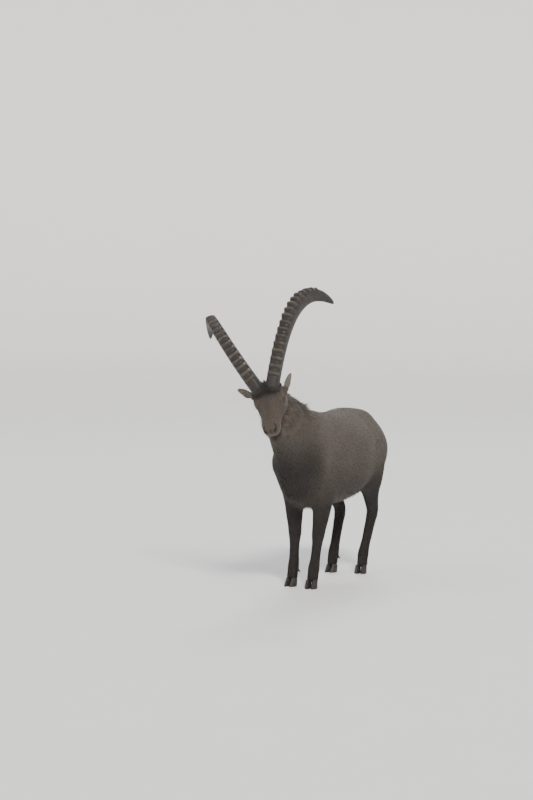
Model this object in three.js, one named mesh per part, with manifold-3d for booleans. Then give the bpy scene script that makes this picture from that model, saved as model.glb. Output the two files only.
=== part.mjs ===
// Alpine ibex, an adult male, life size, standing with its head turned and tilted to one side.
// Millimetres, +Z up, the floor at z = 0. The animal faces -Y and its left side is +X.

import * as THREE from "three";
import { mergeVertices } from "three/addons/utils/BufferGeometryUtils.js";
import Module from "manifold-3d";

const wasm = await Module();
wasm.setup();

// Driving dimensions
const WITHERS = 905; // height of the back over the shoulders
const CHEST_DEPTH = 492; // from the withers down to the brisket
const BARREL = 424; // width of the rib cage at its widest
const HAUNCH = 400; // width across the thighs
const TRUNK = 995; // from the front of the chest to the rump
const HEAD = 300; // from the poll to the end of the nose
const HORN = 800; // length of a horn along its curve
const HORN_DEPTH = 90; // of a horn at its base, front to back
const HORN_WIDTH = 66; // of a horn at its base, across
const HORN_KNOBS = 17; // knobs along the front of a horn
const EAR = 122; // length of an ear
const EYE = 19; // radius of an eyeball
const TAIL = 150; // length of the tail without its tuft
const HOOF = 66; // length of a claw's sole
const GAP = 0.3; // left between neighbours

// Pose
const HEAD_AT = [20, 470, 981]; // the point midway between the eyes: left, forward, up
const HEAD_TURN = 25.8; // degrees, to the animal's left
const HEAD_DROP = 41.1; // degrees, of the muzzle under the horizontal
const HEAD_TILT = 21.4; // degrees, about the muzzle, left side up

// A place or direction given as left, forward and up.
const at = (left, forward, up) => new THREE.Vector3(left, -forward, up);
const UP = at(0, 0, 1);
const FORWARD = at(0, 1, 0);
const rad = THREE.MathUtils.degToRad;
const mix = THREE.MathUtils.lerp;
const smooth = THREE.MathUtils.smoothstep;

// A repeatable stream of numbers from 0 to 1.
function stream(seed) {
  let state = seed;
  return () => {
    state = (state * 1664525 + 1013904223) % 4294967296;
    return state / 4294967296;
  };
}

// Solids

function solid(geometry) {
  const bare = geometry.index ? geometry.toNonIndexed() : geometry.clone();
  bare.deleteAttribute("normal");
  bare.deleteAttribute("uv");
  const merged = mergeVertices(bare, 1e-3);
  return new wasm.Manifold(
    new wasm.Mesh({
      numProp: 3,
      vertProperties: new Float32Array(merged.attributes.position.array),
      triVerts: new Uint32Array(merged.index.array),
    }),
  );
}

// A body's surface, with its very short edges drawn together where that keeps it closed.
function geometryOf(body, shortest = 0.08) {
  const mesh = body.getMesh();
  const places = mesh.vertProperties;
  const faces = [];
  const touching = new Map();
  for (let i = 0; i < mesh.triVerts.length; i += 3) {
    const face = [...mesh.triVerts.subarray(i, i + 3)];
    for (const v of face) {
      if (!touching.has(v)) touching.set(v, new Set());
      touching.get(v).add(face);
    }
    faces.push(face);
  }
  const span = (a, b) =>
    Math.hypot(...[0, 1, 2].map((k) => places[3 * a + k] - places[3 * b + k]));
  const beside = (v) => new Set([...touching.get(v)].flat());
  for (const [a] of [...touching]) {
    if (!touching.has(a)) continue;
    for (const b of beside(a)) {
      if (b === a || !beside(a).has(b) || span(a, b) > shortest) continue;
      const shared = [...beside(a)].filter((v) => beside(b).has(v));
      if (shared.length !== 4) continue;
      for (const face of touching.get(b)) {
        if (face.includes(a)) {
          for (const v of face) touching.get(v).delete(face);
          face.length = 0;
        } else {
          face[face.indexOf(b)] = a;
          touching.get(a).add(face);
        }
      }
      touching.delete(b);
    }
  }
  const geometry = new THREE.BufferGeometry();
  geometry.setAttribute("position", new THREE.BufferAttribute(new Float32Array(places), 3));
  geometry.setIndex(faces.flat());
  const packed = mergeVertices(geometry.toNonIndexed(), 1e-3);
  packed.computeVertexNormals();
  return packed;
}

// The largest closed surface of a body, with any sealed hollow filled.
function largest(body) {
  const pieces = body.decompose();
  return pieces.reduce((a, b) => (b.volume() > a.volume() ? b : a));
}

// A block that fills the space on the side of a plane that its normal points to.
function beyond(point, normal, gap = 0, reach = 2400) {
  const geometry = new THREE.BoxGeometry(reach, reach, reach);
  const turn = new THREE.Quaternion().setFromUnitVectors(UP, normal.clone().normalize());
  geometry.translate(0, 0, reach / 2 + gap);
  geometry.applyQuaternion(turn);
  geometry.translate(point.x, point.y, point.z);
  return solid(geometry);
}

// A closed surface through rings of equal length, with a flat cap on each end.
function loft(rings) {
  const size = rings[0].length;
  const places = rings.flat();
  const caps = [rings[0], rings[rings.length - 1]].map((ring) =>
    ring.reduce((sum, p) => sum.clone().add(p)).divideScalar(size),
  );
  places.push(...caps);
  const faces = [];
  for (let r = 0; r + 1 < rings.length; r++)
    for (let i = 0; i < size; i++) {
      const j = (i + 1) % size;
      const [a, b, c, d] = [r * size + i, r * size + j, (r + 1) * size + j, (r + 1) * size + i];
      faces.push(a, b, c, a, c, d);
    }
  const last = (rings.length - 1) * size;
  for (let i = 0; i < size; i++) {
    const j = (i + 1) % size;
    faces.push(rings.length * size, j, i);
    faces.push(rings.length * size + 1, last + i, last + j);
  }
  const geometry = new THREE.BufferGeometry().setFromPoints(places);
  geometry.setIndex(faces);
  const made = solid(geometry);
  if (made.volume() > 0) return made;
  for (let i = 0; i < faces.length; i += 3)
    [faces[i + 1], faces[i + 2]] = [faces[i + 2], faces[i + 1]];
  geometry.setIndex(faces);
  return solid(geometry);
}

// Soft forms. Each is a run of oval sections along a line, and gives at any point roughly how far
// outside it the point lies. "over" is a section's radius on the side that hint points to.
class Form {
  constructor(stations, { hint = UP, blend = 30, square = 2, cap = null, steps = 5 } = {}) {
    this.blend = blend;
    this.square = square;
    const line = new THREE.CatmullRomCurve3(
      stations.map((s) => s.p),
      false,
      "catmullrom",
      0.5,
    );
    const radii = new THREE.CatmullRomCurve3(
      stations.map((s) => new THREE.Vector3(s.wide, s.over, s.under ?? s.over)),
      false,
      "catmullrom",
      0.5,
    );
    const count = (stations.length - 1) * steps;
    this.samples = [];
    for (let i = 0; i <= count; i++) {
      const c = line.getPoint(i / count);
      const axis = line.getTangent(i / count);
      const side = new THREE.Vector3().crossVectors(axis, hint).normalize();
      const top = new THREE.Vector3().crossVectors(side, axis).normalize();
      const r = radii.getPoint(i / count);
      this.samples.push({ c, axis, side, top, r });
    }
    const ends = [this.samples[0].r, this.samples[count].r];
    this.cap = ends.map((r) => cap ?? Math.min(r.x, r.y, r.z));
    this.box = new THREE.Box3().setFromPoints(this.samples.map((s) => s.c));
    this.box.expandByScalar(Math.max(...this.samples.map((s) => Math.max(s.r.x, s.r.y, s.r.z))));
  }

  // How far the point is outside the form, or under zero inside it.
  outside(p) {
    let best = Infinity;
    let where = 0;
    let share = 0;
    for (let i = 0; i + 1 < this.samples.length; i++) {
      const a = this.samples[i].c;
      const b = this.samples[i + 1].c;
      const ux = b.x - a.x;
      const uy = b.y - a.y;
      const uz = b.z - a.z;
      const wx = p.x - a.x;
      const wy = p.y - a.y;
      const wz = p.z - a.z;
      const run = ux * ux + uy * uy + uz * uz;
      const t = Math.min(1, Math.max(0, (ux * wx + uy * wy + uz * wz) / run));
      const dx = wx - t * ux;
      const dy = wy - t * uy;
      const dz = wz - t * uz;
      const d = dx * dx + dy * dy + dz * dz;
      if (d < best) [best, where, share] = [d, i, t];
    }
    const a = this.samples[where];
    const b = this.samples[where + 1];
    const offset = new THREE.Vector3().lerpVectors(a.c, b.c, share).sub(p).negate();
    const length = offset.length();
    const radius = new THREE.Vector3().lerpVectors(a.r, b.r, share);
    if (length < 1e-6) return -Math.min(radius.x, radius.y);
    const near = share < 0.5 ? a : b;
    const across = offset.dot(near.side) / radius.x;
    const height = offset.dot(near.top);
    const tall = height / (height > 0 ? radius.y : radius.z);
    let along = 0;
    if (where === 0 && share === 0) along = offset.dot(near.axis) / this.cap[0];
    if (where === this.samples.length - 2 && share === 1)
      along = offset.dot(near.axis) / this.cap[1];
    const n = this.square;
    const q = (Math.abs(across) ** n + Math.abs(tall) ** n + Math.abs(along) ** n) ** (1 / n);
    return length - length / Math.max(q, 1e-6);
  }
}

function blendMin(a, b, width) {
  const h = Math.max(width - Math.abs(a - b), 0) / width;
  return Math.min(a, b) - (h * h * width) / 4;
}

// One field for several forms that flow into each other, less the hollows pressed into them.
function flow(forms, hollows = []) {
  return (p) => {
    let d = Infinity;
    for (const form of forms) {
      if (form.box.distanceToPoint(p) > Math.min(d, 200) + form.blend) continue;
      d = d === Infinity ? form.outside(p) : blendMin(d, form.outside(p), form.blend);
    }
    for (const form of hollows)
      if (form.box.distanceToPoint(p) < form.blend)
        d = -blendMin(-d, form.outside(p), form.blend);
    return Math.min(d, 400);
  };
}

// The surface where the field is zero inside a box, as a closed net of four-sided cells. The box and
// its cells lie in the given frame.
function net(field, low, high, cell, frame = new THREE.Matrix4()) {
  const size = [0, 1, 2].map((k) =>
    Math.ceil((high.getComponent(k) - low.getComponent(k)) / cell.getComponent(k)),
  );
  const [nx, ny, nz] = size.map((n) => n + 1);
  const place = (i, j, k) =>
    new THREE.Vector3(low.x + i * cell.x, low.y + j * cell.y, low.z + k * cell.z).applyMatrix4(
      frame,
    );
  const id = (i, j, k) => i + nx * (j + ny * k);
  const value = new Float32Array(nx * ny * nz);
  for (let k = 0; k < nz; k++)
    for (let j = 0; j < ny; j++)
      for (let i = 0; i < nx; i++) {
        const edge = i * j * k === 0 || i === nx - 1 || j === ny - 1 || k === nz - 1;
        const d = field(place(i, j, k));
        value[id(i, j, k)] = edge ? Math.max(d, 1) : d === 0 ? 1e-4 : d;
      }
  // Where only two opposite corners of a face are inside, the nearer outer one is drawn in.
  const faceSteps = [
    [1, nx],
    [1, nx * ny],
    [nx, nx * ny],
  ];
  for (let pass = 0; pass < 4; pass++)
    for (let n = nx * ny; n < value.length - nx * ny; n++)
      for (const [u, w] of faceSteps) {
        const face = [n, n + u, n + u + w, n + w];
        const [a, b, c, d] = face.map((m) => value[m] < 0);
        if (a !== c || b !== d || a === b) continue;
        const outer = face.filter((m) => value[m] > 0);
        value[value[outer[0]] < value[outer[1]] ? outer[0] : outer[1]] = -1e-3;
      }
  const corners = [0, 1, 2, 3, 4, 5, 6, 7].map((c) => [c & 1, (c >> 1) & 1, c >> 2]);
  const pairs = [];
  for (let a = 0; a < 8; a++)
    for (const bit of [1, 2, 4]) if (!(a & bit)) pairs.push([a, a | bit]);
  const vertexOf = new Int32Array(nx * ny * nz).fill(-1);
  const places = [];
  const reach = Math.min(cell.x, cell.y, cell.z) / 2;
  for (let k = 0; k + 1 < nz; k++)
    for (let j = 0; j + 1 < ny; j++)
      for (let i = 0; i + 1 < nx; i++) {
        const v = corners.map(([a, b, c]) => value[id(i + a, j + b, k + c)]);
        const crossed = pairs.filter(([a, b]) => v[a] < 0 !== v[b] < 0);
        if (!crossed.length) continue;
        const sum = new THREE.Vector3();
        for (const [a, b] of crossed) {
          const t = v[a] / (v[a] - v[b]);
          sum.x += i + mix(corners[a][0], corners[b][0], t);
          sum.y += j + mix(corners[a][1], corners[b][1], t);
          sum.z += k + mix(corners[a][2], corners[b][2], t);
        }
        sum.divideScalar(crossed.length);
        const p = place(sum.x, sum.y, sum.z);
        const inner = i * j * k > 0 && i + 2 < nx && j + 2 < ny && k + 2 < nz;
        if (inner) settle(p, field, reach);
        vertexOf[id(i, j, k)] = places.length;
        places.push(p);
      }
  const faces = [];
  const axes = [
    [1, 0, 0],
    [0, 1, 0],
    [0, 0, 1],
  ];
  for (let k = 0; k + 1 < nz; k++)
    for (let j = 0; j + 1 < ny; j++)
      for (let i = 0; i + 1 < nx; i++)
        axes.forEach(([ax, ay, az], axis) => {
          const here = value[id(i, j, k)] < 0;
          const next = value[id(i + ax, j + ay, k + az)] < 0;
          if (here === next) return;
          const [u, w] = [axes[(axis + 1) % 3], axes[(axis + 2) % 3]];
          const ring = [
            [0, 0],
            [1, 0],
            [1, 1],
            [0, 1],
          ].map(
            ([a, b]) =>
              vertexOf[
                id(i - a * u[0] - b * w[0], j - a * u[1] - b * w[1], k - a * u[2] - b * w[2])
              ],
          );
          if (!here) ring.reverse();
          const [a, b, c, d] = ring;
          const short =
            places[a].distanceToSquared(places[c]) < places[b].distanceToSquared(places[d]);
          faces.push(...(short ? [a, b, c, a, c, d] : [a, b, d, b, c, d]));
        });
  const geometry = new THREE.BufferGeometry().setFromPoints(places);
  geometry.setIndex(faces);
  return largest(solid(geometry));
}

// Moves a point onto the field's zero along its slope, by no more than reach.
function settle(p, field, reach) {
  const start = p.clone();
  const step = 0.5;
  for (let turn = 0; turn < 2; turn++) {
    const d = field(p);
    const slope = new THREE.Vector3(
      field(p.clone().setX(p.x + step)) - d,
      field(p.clone().setY(p.y + step)) - d,
      field(p.clone().setZ(p.z + step)) - d,
    ).divideScalar(step);
    const steep = slope.lengthSq();
    if (steep < 0.05) return;
    p.addScaledVector(slope, -d / steep);
    if (p.distanceTo(start) > reach) {
      p.sub(start).setLength(reach).add(start);
      return;
    }
  }
}

// A flat, tapered lock of hair from a root, bending from one direction towards another.
function lock(root, heading, fall, flat, length, width, thick) {
  const rings = [];
  const place = root.clone();
  const steps = 4;
  for (let i = 0; i <= steps; i++) {
    const t = i / steps;
    const run = new THREE.Vector3().lerpVectors(heading, fall, t).normalize();
    const side = new THREE.Vector3().crossVectors(run, flat).normalize();
    const face = new THREE.Vector3().crossVectors(side, run).normalize();
    const taper = (1 - t) ** 0.7 * (0.75 + 0.9 * t) + 0.03;
    rings.push(
      [0, 1, 2, 3].map((q) =>
        place
          .clone()
          .addScaledVector(side, Math.cos((q * Math.PI) / 2) * (width / 2) * taper)
          .addScaledVector(face, Math.sin((q * Math.PI) / 2) * (thick / 2) * taper),
      ),
    );
    place.addScaledVector(run, length / steps);
  }
  return loft(rings);
}

const headFrame = (() => {
  const [yaw, drop, tilt] = [HEAD_TURN, HEAD_DROP, HEAD_TILT].map(rad);
  const muzzle = new THREE.Vector3(
    Math.sin(yaw) * Math.cos(drop),
    -Math.cos(yaw) * Math.cos(drop),
    -Math.sin(drop),
  );
  const level = new THREE.Vector3(Math.cos(yaw), Math.sin(yaw), 0);
  const left = level.applyAxisAngle(muzzle, tilt);
  const brow = new THREE.Vector3().crossVectors(muzzle, left);
  return new THREE.Matrix4()
    .makeBasis(left, muzzle.clone().negate(), brow)
    .setPosition(at(...HEAD_AT));
})();
const inHead = (left, forward, up) => at(left, forward, up).applyMatrix4(headFrame);
const headWay = (left, forward, up) =>
  at(left, forward, up).transformDirection(headFrame).normalize();

// Trunk and neck

const BRISKET = WITHERS - CHEST_DEPTH;
const RUMP = 235 - TRUNK; // forward place of the rump's end
const SIDES = { left: 1, right: -1 };

// A section of the trunk from its back line, belly line and half width.
function rib(forward, back, belly, wide, waist = 0.46) {
  const middle = mix(belly, back, waist);
  return { p: at(0, forward, middle), wide, over: back - middle, under: middle - belly };
}

function trunkForms() {
  const back = WITHERS;
  const trunk = new Form(
    [
      rib(150, back - 130, BRISKET + 110, 80),
      rib(76, back - 26, BRISKET + 24, 107),
      rib(-15, back, BRISKET + 2, 136),
      rib(-150, back - 14, BRISKET, BARREL / 2 - 34),
      rib(-320, back - 24, BRISKET + 2, BARREL / 2),
      rib(-460, back - 16, BRISKET + 32, BARREL / 2 - 8),
      rib(-565, back - 9, BRISKET + 90, BARREL / 2 - 38),
      rib(-655, back - 34, BRISKET + 145, BARREL / 2 - 68),
      rib(RUMP + 45, back - 92, BRISKET + 220, 86),
    ],
    { blend: 60, square: 2.2, cap: 52 },
  );
  const neck = new Form(
    [
      { p: at(0, 50, 730), wide: 112, over: 182, under: 190 },
      { p: at(0, 172, 820), wide: 102, over: 142, under: 168 },
      { p: at(2, 280, 905), wide: 88, over: 106, under: 126 },
      { p: inHead(-4, -106, -62), wide: 66, over: 54, under: 86 },
      { p: inHead(0, -62, -34), wide: 60, over: 48, under: 58 },
    ],
    { blend: 60, square: 2.1 },
  );
  const sheath = new Form(
    [
      { p: at(0, -500, BRISKET + 52), wide: 26, over: 24 },
      { p: at(0, -420, BRISKET + 16), wide: 22, over: 20 },
      { p: at(0, -372, BRISKET - 8), wide: 13, over: 12 },
    ],
    { blend: 34 },
  );
  const pouch = new Form(
    [
      { p: at(0, -622, 540), wide: 32, over: 34 },
      { p: at(0, -632, 470), wide: 36, over: 38 },
    ],
    { blend: 26 },
  );
  const tailRoot = new Form(
    [
      { p: at(0, RUMP + 95, back - 92), wide: 42, over: 36 },
      { p: at(0, RUMP + 12, back - 118), wide: 29, over: 25 },
    ],
    { blend: 40 },
  );
  const forms = [trunk, neck, sheath, pouch, tailRoot];
  for (const s of Object.values(SIDES)) {
    forms.push(
      new Form(
        [
          { p: at(s * 54, -44, back - 88), wide: 34, over: 76 },
          { p: at(s * 80, 30, back - 205), wide: 44, over: 84 },
          { p: at(s * 82, 90, 640), wide: 44, over: 68 },
        ],
        { hint: FORWARD, blend: 55 },
      ),
      new Form(
        [
          { p: at(s * 81, 82, 640), wide: 44, over: 62 },
          { p: at(s * 87, 6, 560), wide: 48, over: 82 },
          { p: at(s * 88, -52, 500), wide: 46, over: 66 },
        ],
        { hint: FORWARD, blend: 50 },
      ),
      new Form(
        [
          { p: at(s * 82, -550, back - 96), wide: 54, over: 86, under: 66 },
          { p: at(s * 116, -602, 690), wide: (HAUNCH - 232) / 2, over: 126, under: 118 },
          { p: at(s * 122, -598, 590), wide: 64, over: 122, under: 116 },
          { p: at(s * 114, -594, 505), wide: 52, over: 82, under: 92 },
        ],
        { hint: FORWARD, blend: 55 },
      ),
    );
  }
  return forms;
}

// Legs. Each is a run of sections from its top down to the hoof.

const LEGS = {
  foreleg_left: { side: 1, fore: true, knee: [74, -4], foot: [64, 52], toe: 6 },
  foreleg_right: { side: -1, fore: true, knee: [74, -42], foot: [66, 18], toe: -6 },
  hindleg_left: { side: 1, fore: false, knee: [92, -688], foot: [82, -560], toe: 8 },
  hindleg_right: { side: -1, fore: false, knee: [90, -672], foot: [80, -538], toe: -6 },
};
const KNEE = 272; // height of the front knee
const HOCK = 318; // height of the hock
const FETLOCK = 104;
const CORONET = 42; // height of the hoof's upper edge

function legForm(leg) {
  const s = leg.side;
  const [kneeOut, kneeForward] = leg.knee;
  const [footOut, footForward] = leg.foot;
  const down = (z, top, bottom) => (top - z) / (top - bottom);
  const joints = leg.fore
    ? { top: [88, -52, 500], bend: KNEE }
    : { top: [114, -594, 505], bend: HOCK };
  // The line of the bones at a height.
  const bone = (z) => {
    const [topOut, topForward, topZ] = joints.top;
    if (z >= joints.bend) {
      const t = down(z, topZ, joints.bend);
      return at(s * mix(topOut, kneeOut, t), mix(topForward, kneeForward, t), z);
    }
    if (z >= FETLOCK) {
      const t = down(z, joints.bend, FETLOCK);
      const fetlock = footForward - 22;
      return at(s * mix(kneeOut, footOut, t), mix(kneeForward, fetlock, t), z);
    }
    const t = down(z, FETLOCK, 0);
    return at(s * footOut, mix(footForward - 22, footForward + 12, t), z);
  };
  // Height, half width, depth in front and depth behind.
  const cuts = leg.fore
    ? [
        [500, 46, 62, 70],
        [452, 46, 56, 60],
        [395, 45, 50, 52],
        [335, 39, 41, 41],
        [298, 35, 37, 34],
        [KNEE, 34.5, 37, 32],
        [232, 28, 27, 29],
        [190, 25.5, 24.5, 28],
        [148, 25.5, 24.5, 28.5],
        [FETLOCK + 4, 30, 28.5, 33],
        [78, 29, 28, 31],
        [52, 29.5, 30, 31],
        [20, 27, 28, 26],
      ]
    : [
        [505, 52, 84, 92],
        [455, 46, 66, 66],
        [405, 39, 50, 48],
        [362, 32, 40, 44],
        [HOCK + 16, 30.5, 33, 47],
        [HOCK - 14, 30, 33, 36],
        [262, 27.5, 27.5, 29],
        [195, 25.5, 25, 28],
        [148, 25.5, 25, 28.5],
        [FETLOCK + 4, 30, 28.5, 33],
        [78, 29, 28, 31],
        [52, 29.5, 30, 31],
        [20, 27, 28, 26],
      ];
  const stations = cuts.map(([z, wide, over, under]) => ({ p: bone(z), wide, over, under }));
  return new Form(stations, { hint: FORWARD, blend: 42, square: 2.15, steps: 3 });
}

// The block in which a leg is its own piece: it rises outwards from the armpit or the groin.
function legBlock(leg, gap) {
  const s = leg.side;
  const own = beyond(at(s * 4, 0, 0), at(s, 0, 0), gap);
  if (leg.fore) {
    const armpit = beyond(at(s * 40, 0, BRISKET - 6), at(s * 0.5, 0, -0.87), gap);
    return own.intersect(armpit).intersect(beyond(at(0, -200, 0), FORWARD, gap));
  }
  const groin = beyond(at(s * 46, 0, 462), at(s * 0.66, 0, -0.75), gap);
  return own.intersect(groin).intersect(beyond(at(0, -431, 470), at(0, -0.92, -0.39), gap));
}

// Hooves

function heading(leg) {
  return new THREE.Matrix4()
    .makeRotationZ(rad(leg.toe))
    .setPosition(at(leg.side * leg.foot[0], leg.foot[1] + 10, 0));
}

// The plane of the coronet, which rises towards the toe.
function coronet(leg) {
  const frame = heading(leg);
  return {
    point: at(0, 0, CORONET).applyMatrix4(frame),
    normal: at(0, -0.24, 1).transformDirection(frame),
  };
}

function claw(leg, half) {
  const frame = heading(leg);
  const width = 28;
  const cleft = 1.2;
  const around = 12;
  const rings = [0, 5, 22, 62].map((z) => {
    const lean = z / Math.tan(rad(52));
    const toe = HOOF * 0.64 - lean * 0.92 - (z === 0 ? 3 : 0);
    const heel = -HOOF * 0.38 - z * 0.1 + (z === 0 ? 3 : 0);
    const wide = (width / 2) * (z === 0 ? 0.94 : 1.06 - z * 0.003);
    const ring = [];
    for (let i = 0; i < around; i++) {
      const turn = (i / around) * 2 * Math.PI;
      const reach = Math.cos(turn);
      const length = mix(heel, toe, (reach + 1) / 2);
      const point = 1 - 0.45 * smooth(reach, 0.1, 1);
      let across = Math.sin(turn) * wide * (1 + 0.2 * (1 - reach * reach)) * point;
      if (across * half < 0) across *= 0.8;
      const splay = 0.03 * Math.max(length, 0) * half;
      ring.push(
        at(half * (width / 2 + cleft) + across + splay, length, z).applyMatrix4(frame),
      );
    }
    return ring;
  });
  const { point, normal } = coronet(leg);
  return largest(loft(rings).subtract(beyond(point, normal, 0)));
}

// The seat of a dewclaw behind the fetlock: a place inside the leg's skin, and the way it points.
function dewclawSeat(leg, half) {
  const frame = heading(leg);
  return {
    point: at(half * 14, -44, FETLOCK - 20).applyMatrix4(frame),
    way: at(half * 0.3, -0.62, -0.72).transformDirection(frame),
  };
}

function peg(seat, radius, from, to, tip) {
  const turn = new THREE.Quaternion().setFromUnitVectors(UP, seat.way);
  const rings = [0, 0.55, 1].map((t) =>
    Array.from({ length: 7 }, (_, i) => {
      const r = mix(radius, tip, t * t);
      const a = (i / 7) * 2 * Math.PI;
      return new THREE.Vector3(r * Math.cos(a), r * 0.8 * Math.sin(a), mix(from, to, t))
        .applyQuaternion(turn)
        .add(seat.point);
    }),
  );
  return loft(rings);
}

// Head, in its own frame: left, forward to the nose and up to the brow, from between the eyes.

function headForms() {
  const hint = headWay(0, 0, 1);
  const skull = (forward, brow, jaw, wide, waist = 0.55) => {
    const middle = mix(jaw, brow, waist);
    return {
      p: inHead(0, forward, middle),
      wide,
      over: brow - middle,
      under: middle - jaw,
    };
  };
  const nose = HEAD - 105;
  const forms = [
    new Form(
      [
        skull(-88, 36, -72, 52),
        skull(-55, 56, -92, 66),
        skull(-15, 56, -92, 73),
        skull(22, 45, -86, 66),
        skull(60, 33, -78, 54),
        skull(100, 25, -71, 45),
        skull(140, 20, -67, 41),
        skull(nose - 28, 14, -64, 40),
        skull(nose - 13, 5, -56, 35),
      ],
      { hint, blend: 18, square: 2.4, cap: 13 },
    ),
    // The pad of the nose and the upper lip.
    new Form(
      [
        { p: inHead(0, nose - 42, -12), wide: 40, over: 28 },
        { p: inHead(0, nose - 15, -14), wide: 36, over: 23 },
      ],
      { hint, blend: 12, square: 2.4, cap: 17 },
    ),
    // The chin.
    new Form(
      [
        { p: inHead(0, nose - 66, -54), wide: 29, over: 19 },
        { p: inHead(0, nose - 32, -53), wide: 27, over: 17 },
      ],
      { hint, blend: 12, cap: 17 },
    ),
  ];
  for (const s of Object.values(SIDES)) {
    forms.push(
      // The brow and the rim of the eye socket.
      new Form(
        [
          { p: inHead(s * 52, -36, 28), wide: 18, over: 15 },
          { p: inHead(s * 64, -8, 24), wide: 15, over: 13 },
          { p: inHead(s * 54, 24, 16), wide: 13, over: 12 },
        ],
        { hint, blend: 16 },
      ),
      // The cheek.
      new Form(
        [
          { p: inHead(s * 40, -52, -44), wide: 31, over: 44 },
          { p: inHead(s * 42, 0, -40), wide: 28, over: 36 },
          { p: inHead(s * 32, 48, -30), wide: 22, over: 22 },
        ],
        { hint, blend: 24 },
      ),
      // The wing of the nostril.
      new Form(
        [
          { p: inHead(s * 25, nose - 30, 2), wide: 13, over: 13 },
          { p: inHead(s * 22, nose - 6, -5), wide: 12, over: 13 },
        ],
        { hint, blend: 10 },
      ),
      // The boss that carries the horn.
      new Form(
        [
          { p: inHead(s * 26, -34, 24), wide: 32, over: 38 },
          {
            p: hornBase(s).addScaledVector(hornWay(s), 2),
            wide: HORN_WIDTH / 2 + 7,
            over: HORN_DEPTH / 2 + 6,
          },
        ],
        { hint, blend: 16, cap: 14 },
      ),
      // The root of the ear.
      new Form(
        [
          { p: inHead(s * 54, -58, -14), wide: 24, over: 24 },
          {
            p: earRoot(s).addScaledVector(earWay(s), 10),
            wide: 17,
            over: 17,
          },
        ],
        { hint, blend: 20, cap: 12 },
      ),
    );
  }
  return forms;
}

// Horns

const HORN_LEAN = [52, 41, 86]; // degrees back from the brow: at the base, then along, then squared
const HORN_SPREAD = [24, 20.5]; // degrees out from the middle plane: at the base and the tip
const KNOB_END = 0.83; // share of the horn's length that carries knobs

const hornBase = (s) => inHead(s * 36, -46, 57);

function hornDirection(s, t) {
  const lean = rad(HORN_LEAN[0] + HORN_LEAN[1] * t + HORN_LEAN[2] * t * t);
  const spread = rad(mix(...HORN_SPREAD, t));
  return headWay(
    s * Math.sin(spread),
    -Math.cos(spread) * Math.sin(lean),
    Math.cos(spread) * Math.cos(lean),
  );
}
const hornWay = (s) => hornDirection(s, 0);

// A ring round the horn at a share of its length, raised in front by a knob's crest.
function hornRing(s, place, t, crest, grow = 0) {
  const around = 10;
  const way = hornDirection(s, t);
  const front = way.clone().sub(hornDirection(s, t + 0.02)).projectOnPlane(way).normalize();
  const side = new THREE.Vector3().crossVectors(way, front);
  const taper = (1 - 0.1 * t) * Math.sqrt(Math.max(1 - t ** 4.4, 0.0012));
  const height = mix(5, 13, smooth(t, 0.1, 0.5)) * (1 - 0.45 * smooth(t, 0.68, KNOB_END));
  return Array.from({ length: around }, (_, i) => {
    const turn = ((i + 0.5) / around) * 2 * Math.PI;
    const [c, d] = [Math.cos(turn), Math.sin(turn)];
    const narrow = c < 0 ? 1 + 0.22 * c : 1;
    const deep = Math.sign(c) * Math.abs(c) ** (c > 0 ? 0.6 : 0.85) * ((HORN_DEPTH / 2) * taper + grow);
    const wide = Math.sign(d) * Math.abs(d) ** 0.75 * ((HORN_WIDTH / 2) * taper * narrow + grow);
    return place
      .clone()
      .addScaledVector(front, deep + crest * height * smooth(c, 0.0, 0.8))
      .addScaledVector(side, wide * (1 + 0.05 * crest));
  });
}

function horn(s) {
  const first = 0.05;
  const perKnob = 3;
  const shares = [0];
  for (let k = 0; k < HORN_KNOBS * perKnob; k++)
    shares.push(first + (k / (HORN_KNOBS * perKnob)) * (KNOB_END - first));
  for (let k = 0; k <= 6; k++) shares.push(mix(KNOB_END, 0.996, k / 6));
  const place = hornBase(s);
  let before = 0;
  const rings = shares.map((t) => {
    place.addScaledVector(hornDirection(s, (before + t) / 2), (t - before) * HORN);
    before = t;
    const phase = ((t - first) / (KNOB_END - first)) * HORN_KNOBS;
    const inKnobs = phase > -0.01 && t < KNOB_END;
    const crest = inKnobs ? Math.sin((phase - Math.floor(phase)) * Math.PI) ** 2 : 0;
    return hornRing(s, place, t, crest);
  });
  return loft(rings);
}

// The socket in the head from which a horn rises.
function hornSeat(s) {
  const low = hornBase(s).addScaledVector(hornWay(s), -GAP);
  const high = hornBase(s).addScaledVector(hornDirection(s, 0.03), 0.06 * HORN);
  return loft([hornRing(s, low, 0, 0, 2 * GAP), hornRing(s, high, 0.06, 0, 7)]);
}

// Ears, each turned its own way.

const EARS = {
  1: { way: [37, -120, -8], open: [0.8, 0.35, 0.35] },
  [-1]: { way: [-100, -78, 15], open: [-0.3, 0.75, 0.3] },
};
const earRoot = (s) => inHead(s * 81, -66, -5);
const earWay = (s) => headWay(...EARS[s].way);

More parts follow.
